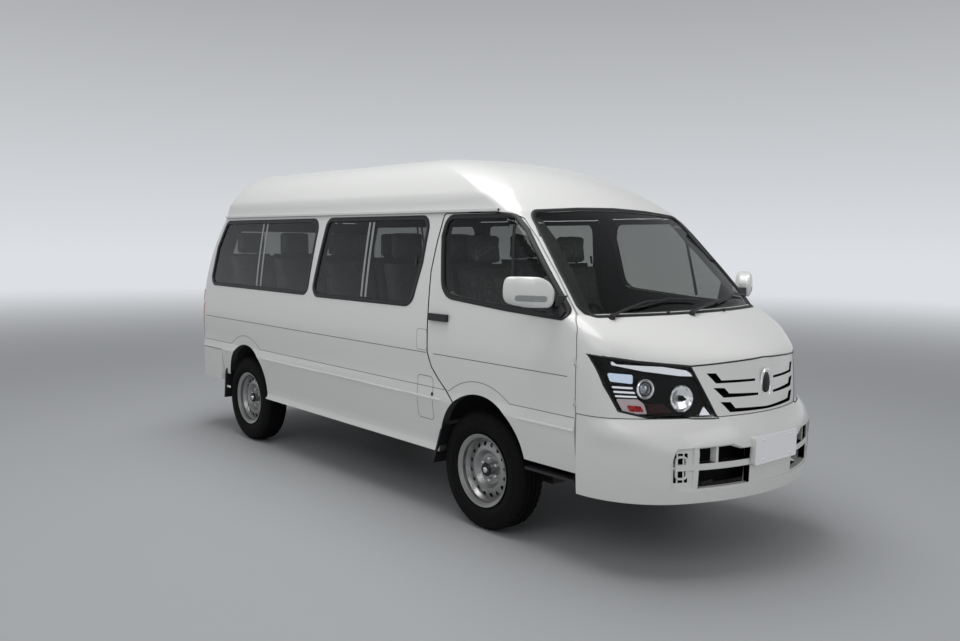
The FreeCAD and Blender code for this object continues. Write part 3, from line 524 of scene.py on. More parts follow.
def seat_cloth():
    """Woven cloth under a clear film that is creased and catches the light."""
    looks = bpy.context.scene.minibus_paint
    material, tree, shader = new_finish("seat_cloth")
    set_shader(shader, Roughness=0.85, Sheen_Weight=0.15, Coat_Weight=1.0, Coat_Roughness=0.10, Coat_IOR=1.7)
    weave = effect(tree, "weave", {"Threads": 420.0})
    cloth = tuple(looks.cloth)
    two_tone(tree, shader, weave.outputs["Height"], cloth, times(cloth, 1.8))
    folds = effect(tree, "creases", {"Scale": 7.0, "Tightness": 3.0})
    bump = bumped(tree, shader, folds.outputs["Height"], 0.03, 0.9)
    fine = add_node(tree, "ShaderNodeBump", (("Height", weave.outputs["Height"]), ("Normal", bump.outputs["Normal"])),
                    values={"Distance": 0.0004, "Strength": 0.5})
    tree.links.new(shader.inputs["Normal"], fine.outputs["Normal"])
    tree.links.new(shader.inputs["Coat Normal"], bump.outputs["Normal"])
    return material


FINISHES = {}


def build_finishes():
    """Every finish of the minibus, by name."""
    looks = bpy.context.scene.minibus_paint
    build_effects()
    FINISHES.update(
        paint=white_paint(),
        rubber=plastic("seal_rubber", tuple(looks.rubber), 0.42, 600.0, 0.00008),
        trim=plastic("black_trim", (0.016, 0.016, 0.018), 0.38),
        interior=plastic("interior_plastic", (0.035, 0.036, 0.037), 0.6, 800.0),
        tyre=dusted_and_shaded("tyre_rubber", (0.005, 0.005, 0.005), (0.012, 0.012, 0.012), 0.7, 0.5, 0.25,
                   grain=900.0, depth=0.0003, specular=0.12),
        wheel=dusted_and_shaded("wheel_silver", tuple(looks.wheel), (0.20, 0.19, 0.18), 0.30, 0.45, 0.25, 0.85),
        chassis=dusted_and_shaded("chassis_paint", (0.018, 0.018, 0.019), (0.09, 0.08, 0.07), 0.55, 0.6, 0.8),
        tinted=pane("tinted_glass", (0.38, 0.39, 0.38)),
        screen=pane("screen_glass", (0.56, 0.58, 0.56)),
        lens=pane("lamp_lens", (0.95, 0.96, 0.97), 0.0, 1.16),
        red_lens=pane("red_lens", (0.75, 0.03, 0.03), 0.05),
        amber_lens=pane("amber_lens", (0.85, 0.30, 0.05), 0.05),
        chrome=metal("chrome", (0.82, 0.83, 0.85), 0.08),
        # The number plate is darker low down: painted shade.
        plate=dusted_and_shaded("plate_metal", (0.93, 0.94, 0.95), (0.78, 0.79, 0.80), 0.3, 0.6, 0.3, 0.0),
        cloth=seat_cloth(),
        # Dark cabin lining, which is also painted shade on panel edges along the gaps and on recess walls.
        lining=plastic("cabin_lining", (0.045, 0.046, 0.045), 0.8, 700.0, 0.0002),
        # The glow on the LED block, the lamp silver and the projector eye is painted reflection.
        led=metal("led_block", (0.62, 0.72, 0.84), 0.18, 0.22),
        silver=metal("lamp_silver", (0.86, 0.87, 0.88), 0.12, 0.14),
        lamp_black=plastic("lamp_black", (0.004, 0.004, 0.004), 0.55, 500.0, 0.00002, 0.08),
        # The same mask gives the signal lamp its red lower part, its own colour.
        signal=dusted_and_shaded("signal_lamp", (0.50, 0.47, 0.46), (0.42, 0.12, 0.11), 0.2, 1.05, 1.6, 0.3),
        eye=metal("projector_eye", (0.34, 0.36, 0.39), 0.12, 0.10),
        # Thin dark lines in the creases, the belt groove and the flaps' gaps: painted shade.
        seam=plastic("panel_seam", (0.16, 0.16, 0.16), 0.6),
        frame_grey=plastic("frame_grey", (0.26, 0.27, 0.27), 0.45),
        black_gloss=plastic("black_gloss", (0.006, 0.006, 0.006), 0.22, 500.0, 0.00002),
    )


# Bodywork

GLAZED = {"windscreen": "screen", "side_windows": "tinted", "sliding_door_glass": "tinted",
          "door_glass_right": "tinted", "door_glass_left": "tinted", "tailgate_glass": "tinted"}
CHASSIS = ("underbody_rails", "front_suspension", "rear_axle", "leaf_springs", "knuckle_right", "knuckle_left",
           "battery_pack", "drive_motor", "seat_frames")
TRIMS = ("handle_right", "handle_left", "side_steps", "steering_wheel", "mud_flaps")
CORNERS = ("front_right", "front_left", "rear_right", "rear_left")


def end_block(bm, outline, low_x, high_x):
    """A prism along the length of the vehicle, from a (y, z) outline in millimetres."""
    face = bm.faces.new([bm.verts.new(at(low_x, y, z)) for y, z in outline])
    made = bmesh.ops.extrude_face_region(bm, geom=[face])["geom"]
    bmesh.ops.translate(bm, verts=new_verts(made), vec=((high_x - low_x) * MM, 0, 0))
    bmesh.ops.recalc_face_normals(bm, faces=bm.faces)


def applied(piece):
    """Works a piece's modifiers into its mesh."""
    ready = piece.evaluated_get(bpy.context.evaluated_depsgraph_get())
    mesh = bpy.data.meshes.new_from_object(ready)
    piece.modifiers.clear()
    piece.data = mesh


def cut_out(piece, cutter_bm, finish, sharp=SHARP):
    """Cuts openings in a piece. Their walls take the finish."""
    mesh = mesh_of("cutter", cutter_bm)
    mesh.materials.append(FINISHES[finish])
    cutter = linked("cutter", mesh)
    cut = piece.modifiers.new("Openings", "BOOLEAN")
    cut.operation, cut.solver, cut.object, cut.material_mode = "DIFFERENCE", "EXACT", cutter, "TRANSFER"
    applied(piece)
    bpy.data.objects.remove(cutter)
    bm = bmesh.new()
    bm.from_mesh(piece.data)
    shade(bm, sharp)
    bm.to_mesh(piece.data)
    bm.free()


# Openings in the front, as right-hand (y, z) outlines in millimetres, and the sheets that close them from behind: a
# black backing behind the grille, and black sheets of painted shade in the bumper's openings

GRILLE_SLOTS = (((-393, 1006), (-340, 1004), (-312, 968), (-83, 963), (-85, 951), (-344, 955)),
                ((-362, 934), (-297, 930), (-273, 903), (-67, 891), (-69, 879), (-308, 884)),
                ((-329, 864), (-268, 860), (-241, 829), (0, 818), (0, 805), (-276, 811)))
GRILLE_FIELD = ((-400, 1012), (400, 1012), (330, 800), (-330, 800))
INTAKE = ((-640, 581), (-618, 668), (-316, 676), (-255, 650), (255, 650), (316, 676), (618, 668), (640, 581),
          (632, 460), (600, 446), (-600, 446), (-632, 460))
BUMPER_WINDOWS = (((-495, 582), (-400, 582), (-400, 658), (-495, 655)),
                  ((-388, 582), (-190, 582), (-190, 638), (-255, 638), (-318, 660), (-388, 658)),
                  ((-495, 460), (-190, 460), (-190, 549), (-495, 549)))
CAGE_COLUMNS, CAGE_ROWS = ((-609, -596), (-589, -567), (-560, -545)), ((494, 560), (570, 636))
CAGE_RING = ((-602, 512), (-553, 512), (-553, 618), (-602, 618))
RING_BEAD = ((0.005, -0.014), (0.005, -0.004), (0.002, -0.001), (-0.002, -0.001), (-0.005, -0.004), (-0.005, -0.014))
SHADE = ((-520, 452), (520, 452), (520, 668), (-520, 668))
FACE_LOW, FACE_HIGH = 440, 684
GRILLE_SPAN, BUMPER_SPAN = (1150, 1400), (900, 1400)
BACKING_DEPTH, RECESS_DEPTH, RECESS_THICK = 0.042, 0.008, 0.032
CAGE_DEPTH, SHADE_DEPTH, SHEET_THICK = 0.043, 0.10, 0.004
SHADE_MARGIN, SHADE_WIDTH, SHADE_LOW, SHADE_HIGH = 12, 80, 486, 644
PLATE_X = 1356


def on_both(outline):
    """A right-hand outline as it lies on both sides."""
    return [mirrored(outline, side) for side, _ in SIDES]


def box_outline(low_y, high_y, low_z, high_z):
    """An upright rectangle as a (y, z) outline."""
    return (low_y, low_z), (high_y, low_z), (high_y, high_z), (low_y, high_z)


def bumper_face(y, z):
    """The bumper's front between the heights below and above its intake."""
    (low, normal), (high, _) = on_end(y, FACE_LOW, 1), on_end(y, FACE_HIGH, 1)
    if low is None or high is None:
        return None, None
    return low.lerp(high, (z - FACE_LOW) / (FACE_HIGH - FACE_LOW)), normal


def build_front_openings():
    """The grille's slots, the bumper's recess with its windows, and the lamp cages."""
    grille = bpy.data.objects["grille_finish"]
    for slot in GRILLE_SLOTS:
        for outline in on_both(slot):
            bm = bmesh.new()
            end_block(bm, outline, *GRILLE_SPAN)
            # The slots' walls are black: painted shade inside the slots.
            cut_out(grille, bm, "lamp_black")
    skin_sheet("grille_backing", GRILLE_FIELD, 6, end_caster(1), BACKING_DEPTH, SHEET_THICK, "lamp_black")
    recess = skin_sheet("bumper_recess", INTAKE, 14, bumper_face, RECESS_DEPTH, RECESS_THICK, "paint")
    bm = bmesh.new()
    for window in BUMPER_WINDOWS:
        for outline in on_both(window):
            end_block(bm, outline, *BUMPER_SPAN)
    cut_out(recess, bm, "paint")
    bm = bmesh.new()
    for low_y, high_y in CAGE_COLUMNS:
        for low_z, high_z in CAGE_ROWS:
            for outline in on_both(box_outline(low_y, high_y, low_z, high_z)):
                end_block(bm, outline, *BUMPER_SPAN)
    # The walls of the lamp cages' holes are black: painted shade inside the holes.
    cut_out(recess, bm, "lamp_black")
    for number, outline in enumerate(on_both(CAGE_RING)):
        skin_line("cage_ring_%d" % number, outline, bumper_face, RING_BEAD, "paint", radius=18, closed=True,
                  step=8.0)
        # Behind each cage, a black sheet of painted shade.
        low_y = min(y for y, _ in outline) - SHADE_MARGIN
        skin_sheet("cage_shade_%d" % number, box_outline(low_y, low_y + SHADE_WIDTH, SHADE_LOW, SHADE_HIGH), 6,
                   bumper_face, CAGE_DEPTH, SHEET_THICK, "lamp_black")
    # A black sheet of painted shade behind the intake's windows.
    skin_sheet("intake_shade", SHADE, 6, bumper_face, SHADE_DEPTH, SHEET_THICK, "lamp_black")


def flat_front(x):
    """A flat upright surface that faces forward."""
    return lambda y, z: (at(x, y, z), FORWARD.copy())


def build_plate():
    """A blank number plate on its pad, with a pressed rim and four bolts."""
    pad, plate = box_outline(-196, 196, 552, 688), box_outline(-190, 190, 548, 690)
    rim = box_outline(-183, 183, 555, 683)
    skin_sheet("plate_pad", pad, 8, flat_front(PLATE_X - 4), 0, 0.020, "paint", step=60)
    skin_sheet("number_plate", plate, 10, flat_front(PLATE_X), 0, 0.003, "plate", step=60)
    skin_line("plate_rim", rim, flat_front(PLATE_X), bead(0.004, 0.0012), "plate", radius=8, closed=True)
    for y in (-120, 120):
        for z in (570, 668):
            turned_piece("plate_bolt_%d_%d" % (y, z), ((0, 8), (2, 8), (3, 6), (3.4, 0)), at(PLATE_X, y, z), FORWARD,
                         "silver", 20)


class MINIBUS_OT_bodywork(bpy.types.Operator):
    """Dress the painted panels"""

    bl_idname = "minibus.bodywork"
    bl_label = "Bodywork"

    def execute(self, context):
        for node in PAINTED:
            dress(node, "paint", lining="lining" if node in LINED_AND_GAP_SHADED else None)
        for node in CHASSIS:
            paint_node(node, "chassis")
        for node in TRIMS:
            dress(node, "trim")
        for node in ("floor_pan", "dashboard"):
            dress(node, "interior")
        return {"FINISHED"}


class MINIBUS_OT_glazing(bpy.types.Operator):
    """Dress the glass"""

    bl_idname = "minibus.glazing"
    bl_label = "Glazing"

    def execute(self, context):
        for node, finish in GLAZED.items():
            dress(node, finish)
        return {"FINISHED"}


# Seals round the windows, as (x, z) outlines on a flank

DOOR_WINDOW = (
    (-370, 1764), (171, 1766), (262, 1690), (640, 1290), (632, 1266), (213, 1285), (-330, 1325), (-392, 1662),
)
DOOR_WINDOW_RADII = (60, 60, 60, 25, 12, 0, 110, 0)
FRONT_SIDE_WINDOW = ((-1713, 1760), (-563, 1762), (-583, 1499), (-650, 1253), (-1813, 1250))
FRONT_SIDE_RADII = (55, 55, 0, 75, 55)
REAR_SIDE_WINDOW = ((-3327, 1754), (-1856, 1757), (-1910, 1255), (-3499, 1257), (-3440, 1550))
REAR_SIDE_RADII = (55, 55, 55, 55, 0)
SCREEN_OUTLINE = (
    (-738, 1274), (738, 1274), (704, 1494), (636, 1790), (300, 1811), (0, 1818), (-300, 1811), (-636, 1790),
    (-704, 1494),
)
SCREEN_RADII = (45, 45, 0, 60, 0, 0, 0, 60, 0)
TAIL_WINDOW = ((-600, 1290), (600, 1290), (560, 1700), (-560, 1700))
PROUD = 9.0


def pushed_out(path, amount):
    """A closed outline moved outwards."""
    count = len(path)
    area = sum(path[i - 1].x * path[i].y - path[i].x * path[i - 1].y for i in range(count))
    turn = 1 if area > 0 else -1
    moved = []
    for i in range(count):
        along = (path[(i + 1) % count] - path[i - 1]).normalized()
        moved.append(path[i] + Vector((along.y, -along.x)) * amount * turn)
    return moved


def seal_profile(width, height):
    """A seal's section: a flat foot, a rounded crown and a lip over the glass."""
    reach = width / 2
    return ((reach, -0.002), (reach, height * 0.5), (reach * 0.75, height), (-reach * 0.6, height),
            (-reach * 0.9, height * 0.4), (-reach, -0.004), (-reach, -0.009), (0.0, -0.004))


def window_seal(name, outline, radii, caster, body="root"):
    """A rubber seal round a window, laid on the skin."""
    trim = bpy.context.scene.minibus_trim
    path = pushed_out(rounded(outline, radii), PROUD)
    spots = [caster(point.x, point.y) for point in path]
    spots = [spot for spot in spots if spot[0] is not None]
    places = [place for place, _ in spots]
    normals = smoothed([normal for _, normal in spots])
    centre = sum(places, Vector()) / len(places)
    profile = seal_profile(trim.seal_width, trim.seal_height)
    along = (places[1] - places[0]).normalized()
    if along.cross(normals[0]).dot(places[0] - centre) < 0:
        profile = tuple((-a, b) for a, b in profile)
    bm = bmesh.new()
    sweep(bm, places, normals, profile, True)
    finish_mesh(name, bm, "rubber", body)


def smoothed(normals):
    """Normals averaged with their neighbours."""
    count = len(normals)
    return [(normals[i - 2] + normals[i - 1] + normals[i] * 2 + normals[(i + 1) % count]
             + normals[(i + 2) % count]).normalized() for i in range(count)]


def side_caster(side, tree=SKIN):
    """A function that finds the skin at (x, z) from one side."""
    return lambda x, z: on_side(x, z, side, tree)


def end_caster(end, tree=SKIN):
    """A function that finds the skin at (y, z) from the front or from behind."""
    return lambda y, z: on_end(y, z, end, tree)


def skin_line(name, points, caster, profile, finish, body="root", radius=0, closed=False, step=30.0):
    """A bead laid along a line on the skin."""
    path = rounded(points, radius, closed, step)
    spots = [caster(point.x, point.y) for point in path]
    spots = [spot for spot in spots if spot[0] is not None]
    normals = [normal for _, normal in spots]
    if closed:
        normals = smoothed(normals)
    bm = bmesh.new()
    sweep(bm, [place for place, _ in spots], normals, profile, closed)
    return finish_mesh(name, bm, finish, body)


def bead(width, proud, sunk=0.002):
    """A bead's section, a little rounded at its top."""
    half = width / 2
    return ((half, -sunk), (half, proud * 0.4), (half * 0.6, proud), (-half * 0.6, proud), (-half, proud * 0.4),
            (-half, -sunk))


def skin_sheet(name, outline, radii, caster, depth, thick, finish, body="root", step=18.0):
    """A thin sheet that follows the skin at a depth, from a flat outline in millimetres."""
    bm = bmesh.new()
    path = rounded(outline, radii, True, UNDIVIDED)
    bm.faces.new([bm.verts.new((point.x, point.y, 0)) for point in path])
    for axis in (0, 1):
        low = min(point[axis] for point in path)
        high = max(point[axis] for point in path)
        count = max(1, int((high - low) / step))
        for k in range(1, count):
            spot, normal = [0.0, 0.0, 0.0], [0.0, 0.0, 0.0]
            spot[axis], normal[axis] = low + (high - low) * k / count, 1.0
            bmesh.ops.bisect_plane(bm, geom=[*bm.verts, *bm.edges, *bm.faces], plane_co=spot, plane_no=normal)
    bmesh.ops.triangulate(bm, faces=bm.faces)
    lost, inward = [], {}
    for vert in bm.verts:
        place, normal = caster(vert.co.x, vert.co.y)
        if place is None:
            lost.append(vert)
        else:
            vert.co, inward[vert] = place - normal * depth, normal * thick
    bmesh.ops.delete(bm, geom=lost, context="VERTS")
    front, rims = bm.faces[:], [edge for edge in bm.edges if len(edge.link_faces) == 1]
    back = {vert: bm.verts.new(vert.co - inward[vert]) for vert in bm.verts[:]}
    for face in front:
        bm.faces.new([back[vert] for vert in reversed(face.verts)])
    for edge in rims:
        first, last = edge.verts
        bm.faces.new((first, last, back[last], back[first]))
    bmesh.ops.recalc_face_normals(bm, faces=bm.faces)
    return finish_mesh(name, bm, finish, body)


def turned(bm, profile, centre, axis, steps=48):
    """A ring or cap turned round an axis, from (along, radius) points in millimetres."""
    side = axis.orthogonal().normalized()
    verts = [bm.verts.new(centre + axis * (along * MM) + side * (radius * MM)) for along, radius in profile]
    edges = [bm.edges.new(pair) for pair in zip(verts, verts[1:])]
    bmesh.ops.spin(bm, geom=verts + edges, cent=centre, axis=axis, angle=math.tau, steps=steps, use_merge=True)
    bmesh.ops.remove_doubles(bm, verts=bm.verts, dist=0.02 * MM)
    bmesh.ops.recalc_face_normals(bm, faces=bm.faces)


def turned_piece(name, profile, centre, axis, finish, steps, body="root"):
    """A ring or cap of its own."""
    bm = bmesh.new()
    turned(bm, profile, centre, axis, steps)
    finish_mesh(name, bm, finish, body)


class MINIBUS_OT_seals(bpy.types.Operator):
    """Lay the rubber seals round every window"""

    bl_idname = "minibus.seals"
    bl_label = "Window seals"

    def execute(self, context):
        for side, word in SIDES:
            window_seal("door_window_seal_" + word, DOOR_WINDOW, DOOR_WINDOW_RADII, side_caster(side), "door_" + word)
            window_seal("front_side_seal_" + word, FRONT_SIDE_WINDOW, FRONT_SIDE_RADII, side_caster(side))
            window_seal("rear_side_seal_" + word, REAR_SIDE_WINDOW, REAR_SIDE_RADII, side_caster(side))
        window_seal("screen_seal", SCREEN_OUTLINE, SCREEN_RADII, end_caster(1))
        window_seal("tail_window_seal", TAIL_WINDOW, 60, end_caster(-1), "tailgate")
        return {"FINISHED"}


# Tyres

TYRE_HALF = ((190, 66), (196, 71), (208, 72), (214, 76), (226, 85), (238, 91), (246, 93), (249, 96), (268, 97.3),
             (276, 96.5), (279, 94.5), (300, 92), (318, 85), (328, 77), (336, 69), (339, 62), (340, 50), (333, 48),
             (333, 41), (340.4, 39), (340.8, 19), (333.5, 17), (333.5, 9), (340.8, 7))
TREAD_STEPS, TREAD_PITCH = 156, 3
SHOULDER, GROOVE_REACH, GROOVE_DEPTH = 49, 326, 6


def build_tyre(corner):
    """A tyre with grooves round its crown and notches across its shoulders."""
    low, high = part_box("tyre_" + corner)
    centre = (low + high) / 2
    points = list(TYRE_HALF) + [(radius, -along) for radius, along in reversed(TYRE_HALF)]
    points += [(196, -40), (196, 40), points[0]]
    bm = bmesh.new()
    turned(bm, [(along, radius) for radius, along in points], centre, Vector((0, 1, 0)), TREAD_STEPS)
    for vert in bm.verts:
        arm = vert.co - centre
        along = abs(arm.y) / MM
        radius = math.hypot(arm.x, arm.z) / MM
        step = round(math.atan2(arm.z, arm.x) / math.tau * TREAD_STEPS)
        if step % TREAD_PITCH == 0 and radius > GROOVE_REACH and along > SHOULDER:
            share = (radius - GROOVE_DEPTH) / radius
            vert.co = centre + Vector((arm.x * share, arm.y, arm.z * share))
    piece = finish_mesh("tyre_tread_" + corner, bm, "tyre", "wheel_" + corner, TREAD_SHARP)
    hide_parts("tyre_" + corner)


WHEEL_SECTION = ((208, 84), (206, 77), (190, 74), (190, 40), (172, 26), (172, -30), (190, -50), (190, -74), (204, -78),
                 (206, -84), (186, -80), (182, -50), (164, -34), (164, 14), (150, 22), (128, 29), (112, 28), (98, 6),
                 (70, 2), (0, 2), (0, 50), (22, 50), (32, 44), (34, 12), (86, 14), (104, 34), (110, 39), (118, 40),
                 (128, 37), (152, 30), (166, 24), (170, 32), (182, 48), (183, 70), (199, 82), (208, 84))
VENTS, VENT_REACH, VENT_PROFILE = 16, 147, ((-20, 0), (-20, 13), (70, 13), (70, 0))
NUTS, NUT_REACH, NUT_PROFILE = 6, 62, ((10, 11), (28, 11), (31, 8), (31, 0))
HUB_RING = ((50.5, 0), (51, 20), (54, 22), (54, 33), (49, 38), (44, 39), (44, 0))
HUB_CAP = ((54, 18), (58, 16), (61, 9), (62, 0))


def round_hub(count, reach, profile, steps, centre, axis):
    """A bmesh with turned forms in a ring round a wheel's middle."""
    bm = bmesh.new()
    for k in range(count):
        angle = math.tau * (k + 0.5) / count
        spot = centre + Vector((math.cos(angle), 0, math.sin(angle))) * (reach * MM)
        turned(bm, profile, spot, axis, steps)
    return bm


def build_wheel(corner):
    """A pressed steel wheel with its vents, nuts and cap."""
    low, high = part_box("wheel_" + corner)
    centre = (low + high) / 2
    side = math.copysign(1, centre.y)
    axis = Vector((0, side, 0))
    body = "wheel_" + corner
    bm = bmesh.new()
    turned(bm, [(along, radius) for radius, along in WHEEL_SECTION], centre, axis, 96)
    wheel = finish_mesh("wheel_pressing_" + corner, bm, "wheel", body, WHEEL_SHARP)
    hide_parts("wheel_" + corner)
    # The vents' walls are black: painted shade inside the vents.
    cut_out(wheel, round_hub(VENTS, VENT_REACH, VENT_PROFILE, 20, centre, axis), "black_gloss", WHEEL_SHARP)
    nuts = round_hub(NUTS, NUT_REACH, NUT_PROFILE, 6, centre, axis)
    finish_mesh("wheel_nuts_" + corner, nuts, "chrome", body)
    turned_piece("hub_ring_" + corner, HUB_RING, centre, axis, "black_gloss", 32, body)
    turned_piece("hub_cap_" + corner, HUB_CAP, centre, axis, "chrome", 24, body)


class MINIBUS_OT_wheels(bpy.types.Operator):
    """Make the tyres and dress the wheels"""

    bl_idname = "minibus.wheels"
    bl_label = "Wheels"

    def execute(self, context):
        for corner in CORNERS:
            build_tyre(corner)
            build_wheel(corner)
        return {"FINISHED"}


# Lamps: what shows through each clear cover, as (y, z) outlines on the right-hand side

LAMP_STRIP = ((-788, 1070), (-766, 1052), (-592, 1042), (-486, 1023), (-446, 993), (-520, 997), (-676, 1021),
              (-784, 1048))
LAMP_LEDS = ((-801, 1010), (-712, 1003), (-715, 959), (-794, 969))
LAMP_SIGNAL = ((-779, 888), (-701, 886), (-680, 866), (-670, 817), (-739, 816), (-757, 823))
SIGNAL_RED = ((-744, 858), (-692, 854), (-682, 826), (-735, 829))
LAMP_RED = ((-673, 866), (-605, 865), (-564, 824), (-663, 817))
LAMP_CORNER = ((-416, 847), (-384, 804), (-442, 805))
LAMP_BARS = (((-790, 948), (-716, 944), (-716, 934), (-788, 938)),
             ((-786, 926), (-712, 922), (-708, 912), (-784, 916)),
             ((-782, 905), (-706, 902), (-702, 893), (-780, 896)))
LAMP_EDGE = ((-834, 1091), (-694, 1064), (-467, 1039), (-352, 787), (-666, 797), (-776, 829), (-812, 948))
PROJECTOR, REFLECTOR, LAMP_RING_DEPTH = (-662, 935), (-512, 888), 0.020
LAMP_RINGS = (
    ("projector_ring", PROJECTOR, ((-4, 49), (3, 49), (6, 45), (4, 40), (-9, 36), (-11, 40), (-4, 49)), "silver", 40),
    ("projector_eye", PROJECTOR, ((-9, 30), (-3, 29), (2, 24), (6, 13), (7, 0)), "eye", 40),
    ("reflector_ring", REFLECTOR, ((-3, 66), (3, 66), (6, 62), (3, 57), (-4, 51), (-8, 38), (-11, 22), (-12, 0)),
     "silver", 14),
    ("reflector_bulb", REFLECTOR, ((-11, 15), (2, 15), (6, 11), (7, 0)), "lamp_black", 40),
)
LAMP_SHEETS = (
    ("lamp_strip", LAMP_STRIP, 4, 0.012, 0.006, "silver"), ("lamp_leds", LAMP_LEDS, 8, 0.014, 0.005, "led"),
    ("lamp_signal", LAMP_SIGNAL, 6, 0.012, 0.006, "signal"),
    ("lamp_signal_red", SIGNAL_RED, 5, 0.010, 0.002, "red_lens"), ("lamp_red", LAMP_RED, 5, 0.014, 0.005, "red_lens"),
    ("lamp_corner", LAMP_CORNER, 3, 0.010, 0.005, "silver"),
    *(("lamp_bar_%d" % number, bar, 3, 0.012, 0.005, "silver") for number, bar in enumerate(LAMP_BARS)),
)
TAIL_LAMPS = ((790, 896, "lens"), (900, 980, "amber_lens"), (984, 1190, "red_lens"))


def lamp_ring(name, spot, side, profile, finish, steps=40):
    """A turned piece inside a lamp, square to its cover's middle."""
    place, _ = on_end(-side * spot[0], spot[1], 1)
    axis = Vector((0.94, side * 0.30, 0.10)).normalized()
    turned_piece(name, profile, place - axis * LAMP_RING_DEPTH, axis, finish, steps)


LAMP_OUTLINE = ((-836, 1094), (-813, 948), (-778, 829), (-666, 797), (-354, 787), (-467, 1038), (-694, 1065))
LAMP_RADII = (0, 0, 50, 0, 12, 8, 0)
WALL_SHARE, WALL_PROFILE = (0.972, 0.965), ((0.002, -0.037), (0.002, -0.004), (-0.002, -0.004), (-0.002, -0.037))


def build_lamp(side, word):
    """One headlamp: its clear cover, its dark case, and the bright pieces between them."""
    caster = end_caster(1)
    outline = mirrored(LAMP_OUTLINE, side)
    cover = skin_sheet("lamp_cover_" + word, outline, LAMP_RADII, caster, 0.001, 0.003, "lens")
    if side < 0:
        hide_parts("headlamps")
    skin_sheet("lamp_case_" + word, outline, LAMP_RADII, caster, 0.034, 0.004, "lamp_black")
    middle_y, middle_z = (sum(values) / len(outline) for values in zip(*outline))
    inner = [(middle_y + (y - middle_y) * WALL_SHARE[0], middle_z + (z - middle_z) * WALL_SHARE[1])
             for y, z in outline]
    skin_line("lamp_wall_" + word, inner, caster, WALL_PROFILE, "lamp_black", closed=True)

    for name, shape, radius, depth, thick, finish in LAMP_SHEETS:
        skin_sheet(name + "_" + word, mirrored(shape, side), radius, caster, depth, thick, finish)
    for name, spot, profile, finish, steps in LAMP_RINGS:
        lamp_ring(name + "_" + word, spot, side, profile, finish, steps)
    skin_line("lamp_gasket_" + word, mirrored(LAMP_EDGE, side), caster, bead(0.007, 0.0015), "rubber", closed=True)


class MINIBUS_OT_lamps(bpy.types.Operator):
    """Build what is inside the lamps"""

    bl_idname = "minibus.lamps"
    bl_label = "Lamps"

    def execute(self, context):
        for side, word in SIDES:
            for low_z, high_z, finish in TAIL_LAMPS:
                outline = mirrored(((-860, low_z), (-712, low_z), (-712, high_z), (-860, high_z)), side)
                skin_sheet("tail_%s_%s" % (finish, word), outline, 6, end_caster(-1), -0.004, 0.012, finish)
        for side, word in SIDES:
            build_lamp(side, word)
        return {"FINISHED"}


# Seats: each pad is a crowned form that swells under its cover

FRONT_SEATS = [(-390, 470, -380, 870, 620), (390, 470, -380, 870, 620)]
REAR_SEATS = [(middle, width, -1010 - 760 * row, 900, 600) for row in range(4)
              for middle, width in ((-520, 430), (-85, 430), (545, 380))]
LEAN = 60
SWELL_CAP = 0.016
VOXEL = 0.011
PRESSURE = 4.0
SWELL_STEPS = 20
HEAD_WIDTH, PAD_MARGIN = 236, 24
CHANNEL_DEPTH, CROSS_DEPTH, CHANNEL_WIDTH, CROSS_DOWN = 0.007, 0.006, 9, 0.28
KINDS = ("cushion", "back", "head")
SEAT_GROUPS = (("front", FRONT_SEATS), ("rear", REAR_SEATS))


# Side views, as a distance ahead of the seat's back, a share of its height, and a rise in millimetres
PAD_SIDES = {
    "cushion": ((32, 0, 8), (490, 0, 8), (498, 0, 124), (40, 0, 108)),
    "back": ((4, 0, 142), (88, 0, 142), (8 - LEAN, 1, -10), (-58 - LEAN, 1, -10)),
    "head": ((-64 - LEAN, 1, 8), (6 - LEAN, 1, 8), (-6 - LEAN, 1, 180), (-64 - LEAN, 1, 180)),
}
PAD_CORNER, PAD_BEVEL = 26, 0.024


def pad_outline(kind, back_x, base_z, height):
    """The side view of a cushion, a back or a headrest, a little inside its solid."""
    return [(back_x + x, base_z + share * height + rise) for x, share, rise in PAD_SIDES[kind]]


def pad_form(name, outline, width):
    """A rounded block with that side view, its middle on the plane y = 0."""
    path = rounded(outline, PAD_CORNER, True, UNDIVIDED)
    bm = bmesh.new()
    bm.faces.new([bm.verts.new(at(point.x, -width / 2, point.y)) for point in path])
    made = bmesh.ops.extrude_face_region(bm, geom=bm.faces[:])["geom"]
    bmesh.ops.translate(bm, verts=new_verts(made), vec=(0, width * MM, 0))
    bmesh.ops.recalc_face_normals(bm, faces=bm.faces)
    rims = [edge for edge in bm.edges if abs(edge.verts[0].co.y - edge.verts[1].co.y) < 0.001]
    bmesh.ops.bevel(bm, geom=rims, offset=PAD_BEVEL, segments=3, profile=0.6, affect="EDGES")
    pad = linked(name, mesh_of(name, bm))
    remesh = pad.modifiers.new("Even", "REMESH")
    remesh.mode = "VOXEL"
    remesh.voxel_size = VOXEL
    return pad


def swell(pads):
    """Fills the pads with air for a moment, all together, and keeps the form they reach."""
    for pad in pads:
        applied(pad)
    starts = {pad.name: [vert.co.copy() for vert in pad.data.vertices] for pad in pads}
    for pad in pads:
        cloth = pad.modifiers.new("Cloth", "CLOTH")
        cloth.settings.use_pressure = True
        cloth.settings.uniform_pressure_force = PRESSURE
        cloth.settings.effector_weights.gravity = 0
    for step in range(1, SWELL_STEPS + 1):
        bpy.context.scene.frame_set(step)
    for pad in pads:
        applied(pad)
        for vert, start in zip(pad.data.vertices, starts[pad.name]):
            move = vert.co - start
            if move.length > SWELL_CAP:
                vert.co = start + move.normalized() * SWELL_CAP
    bpy.context.scene.frame_set(1)


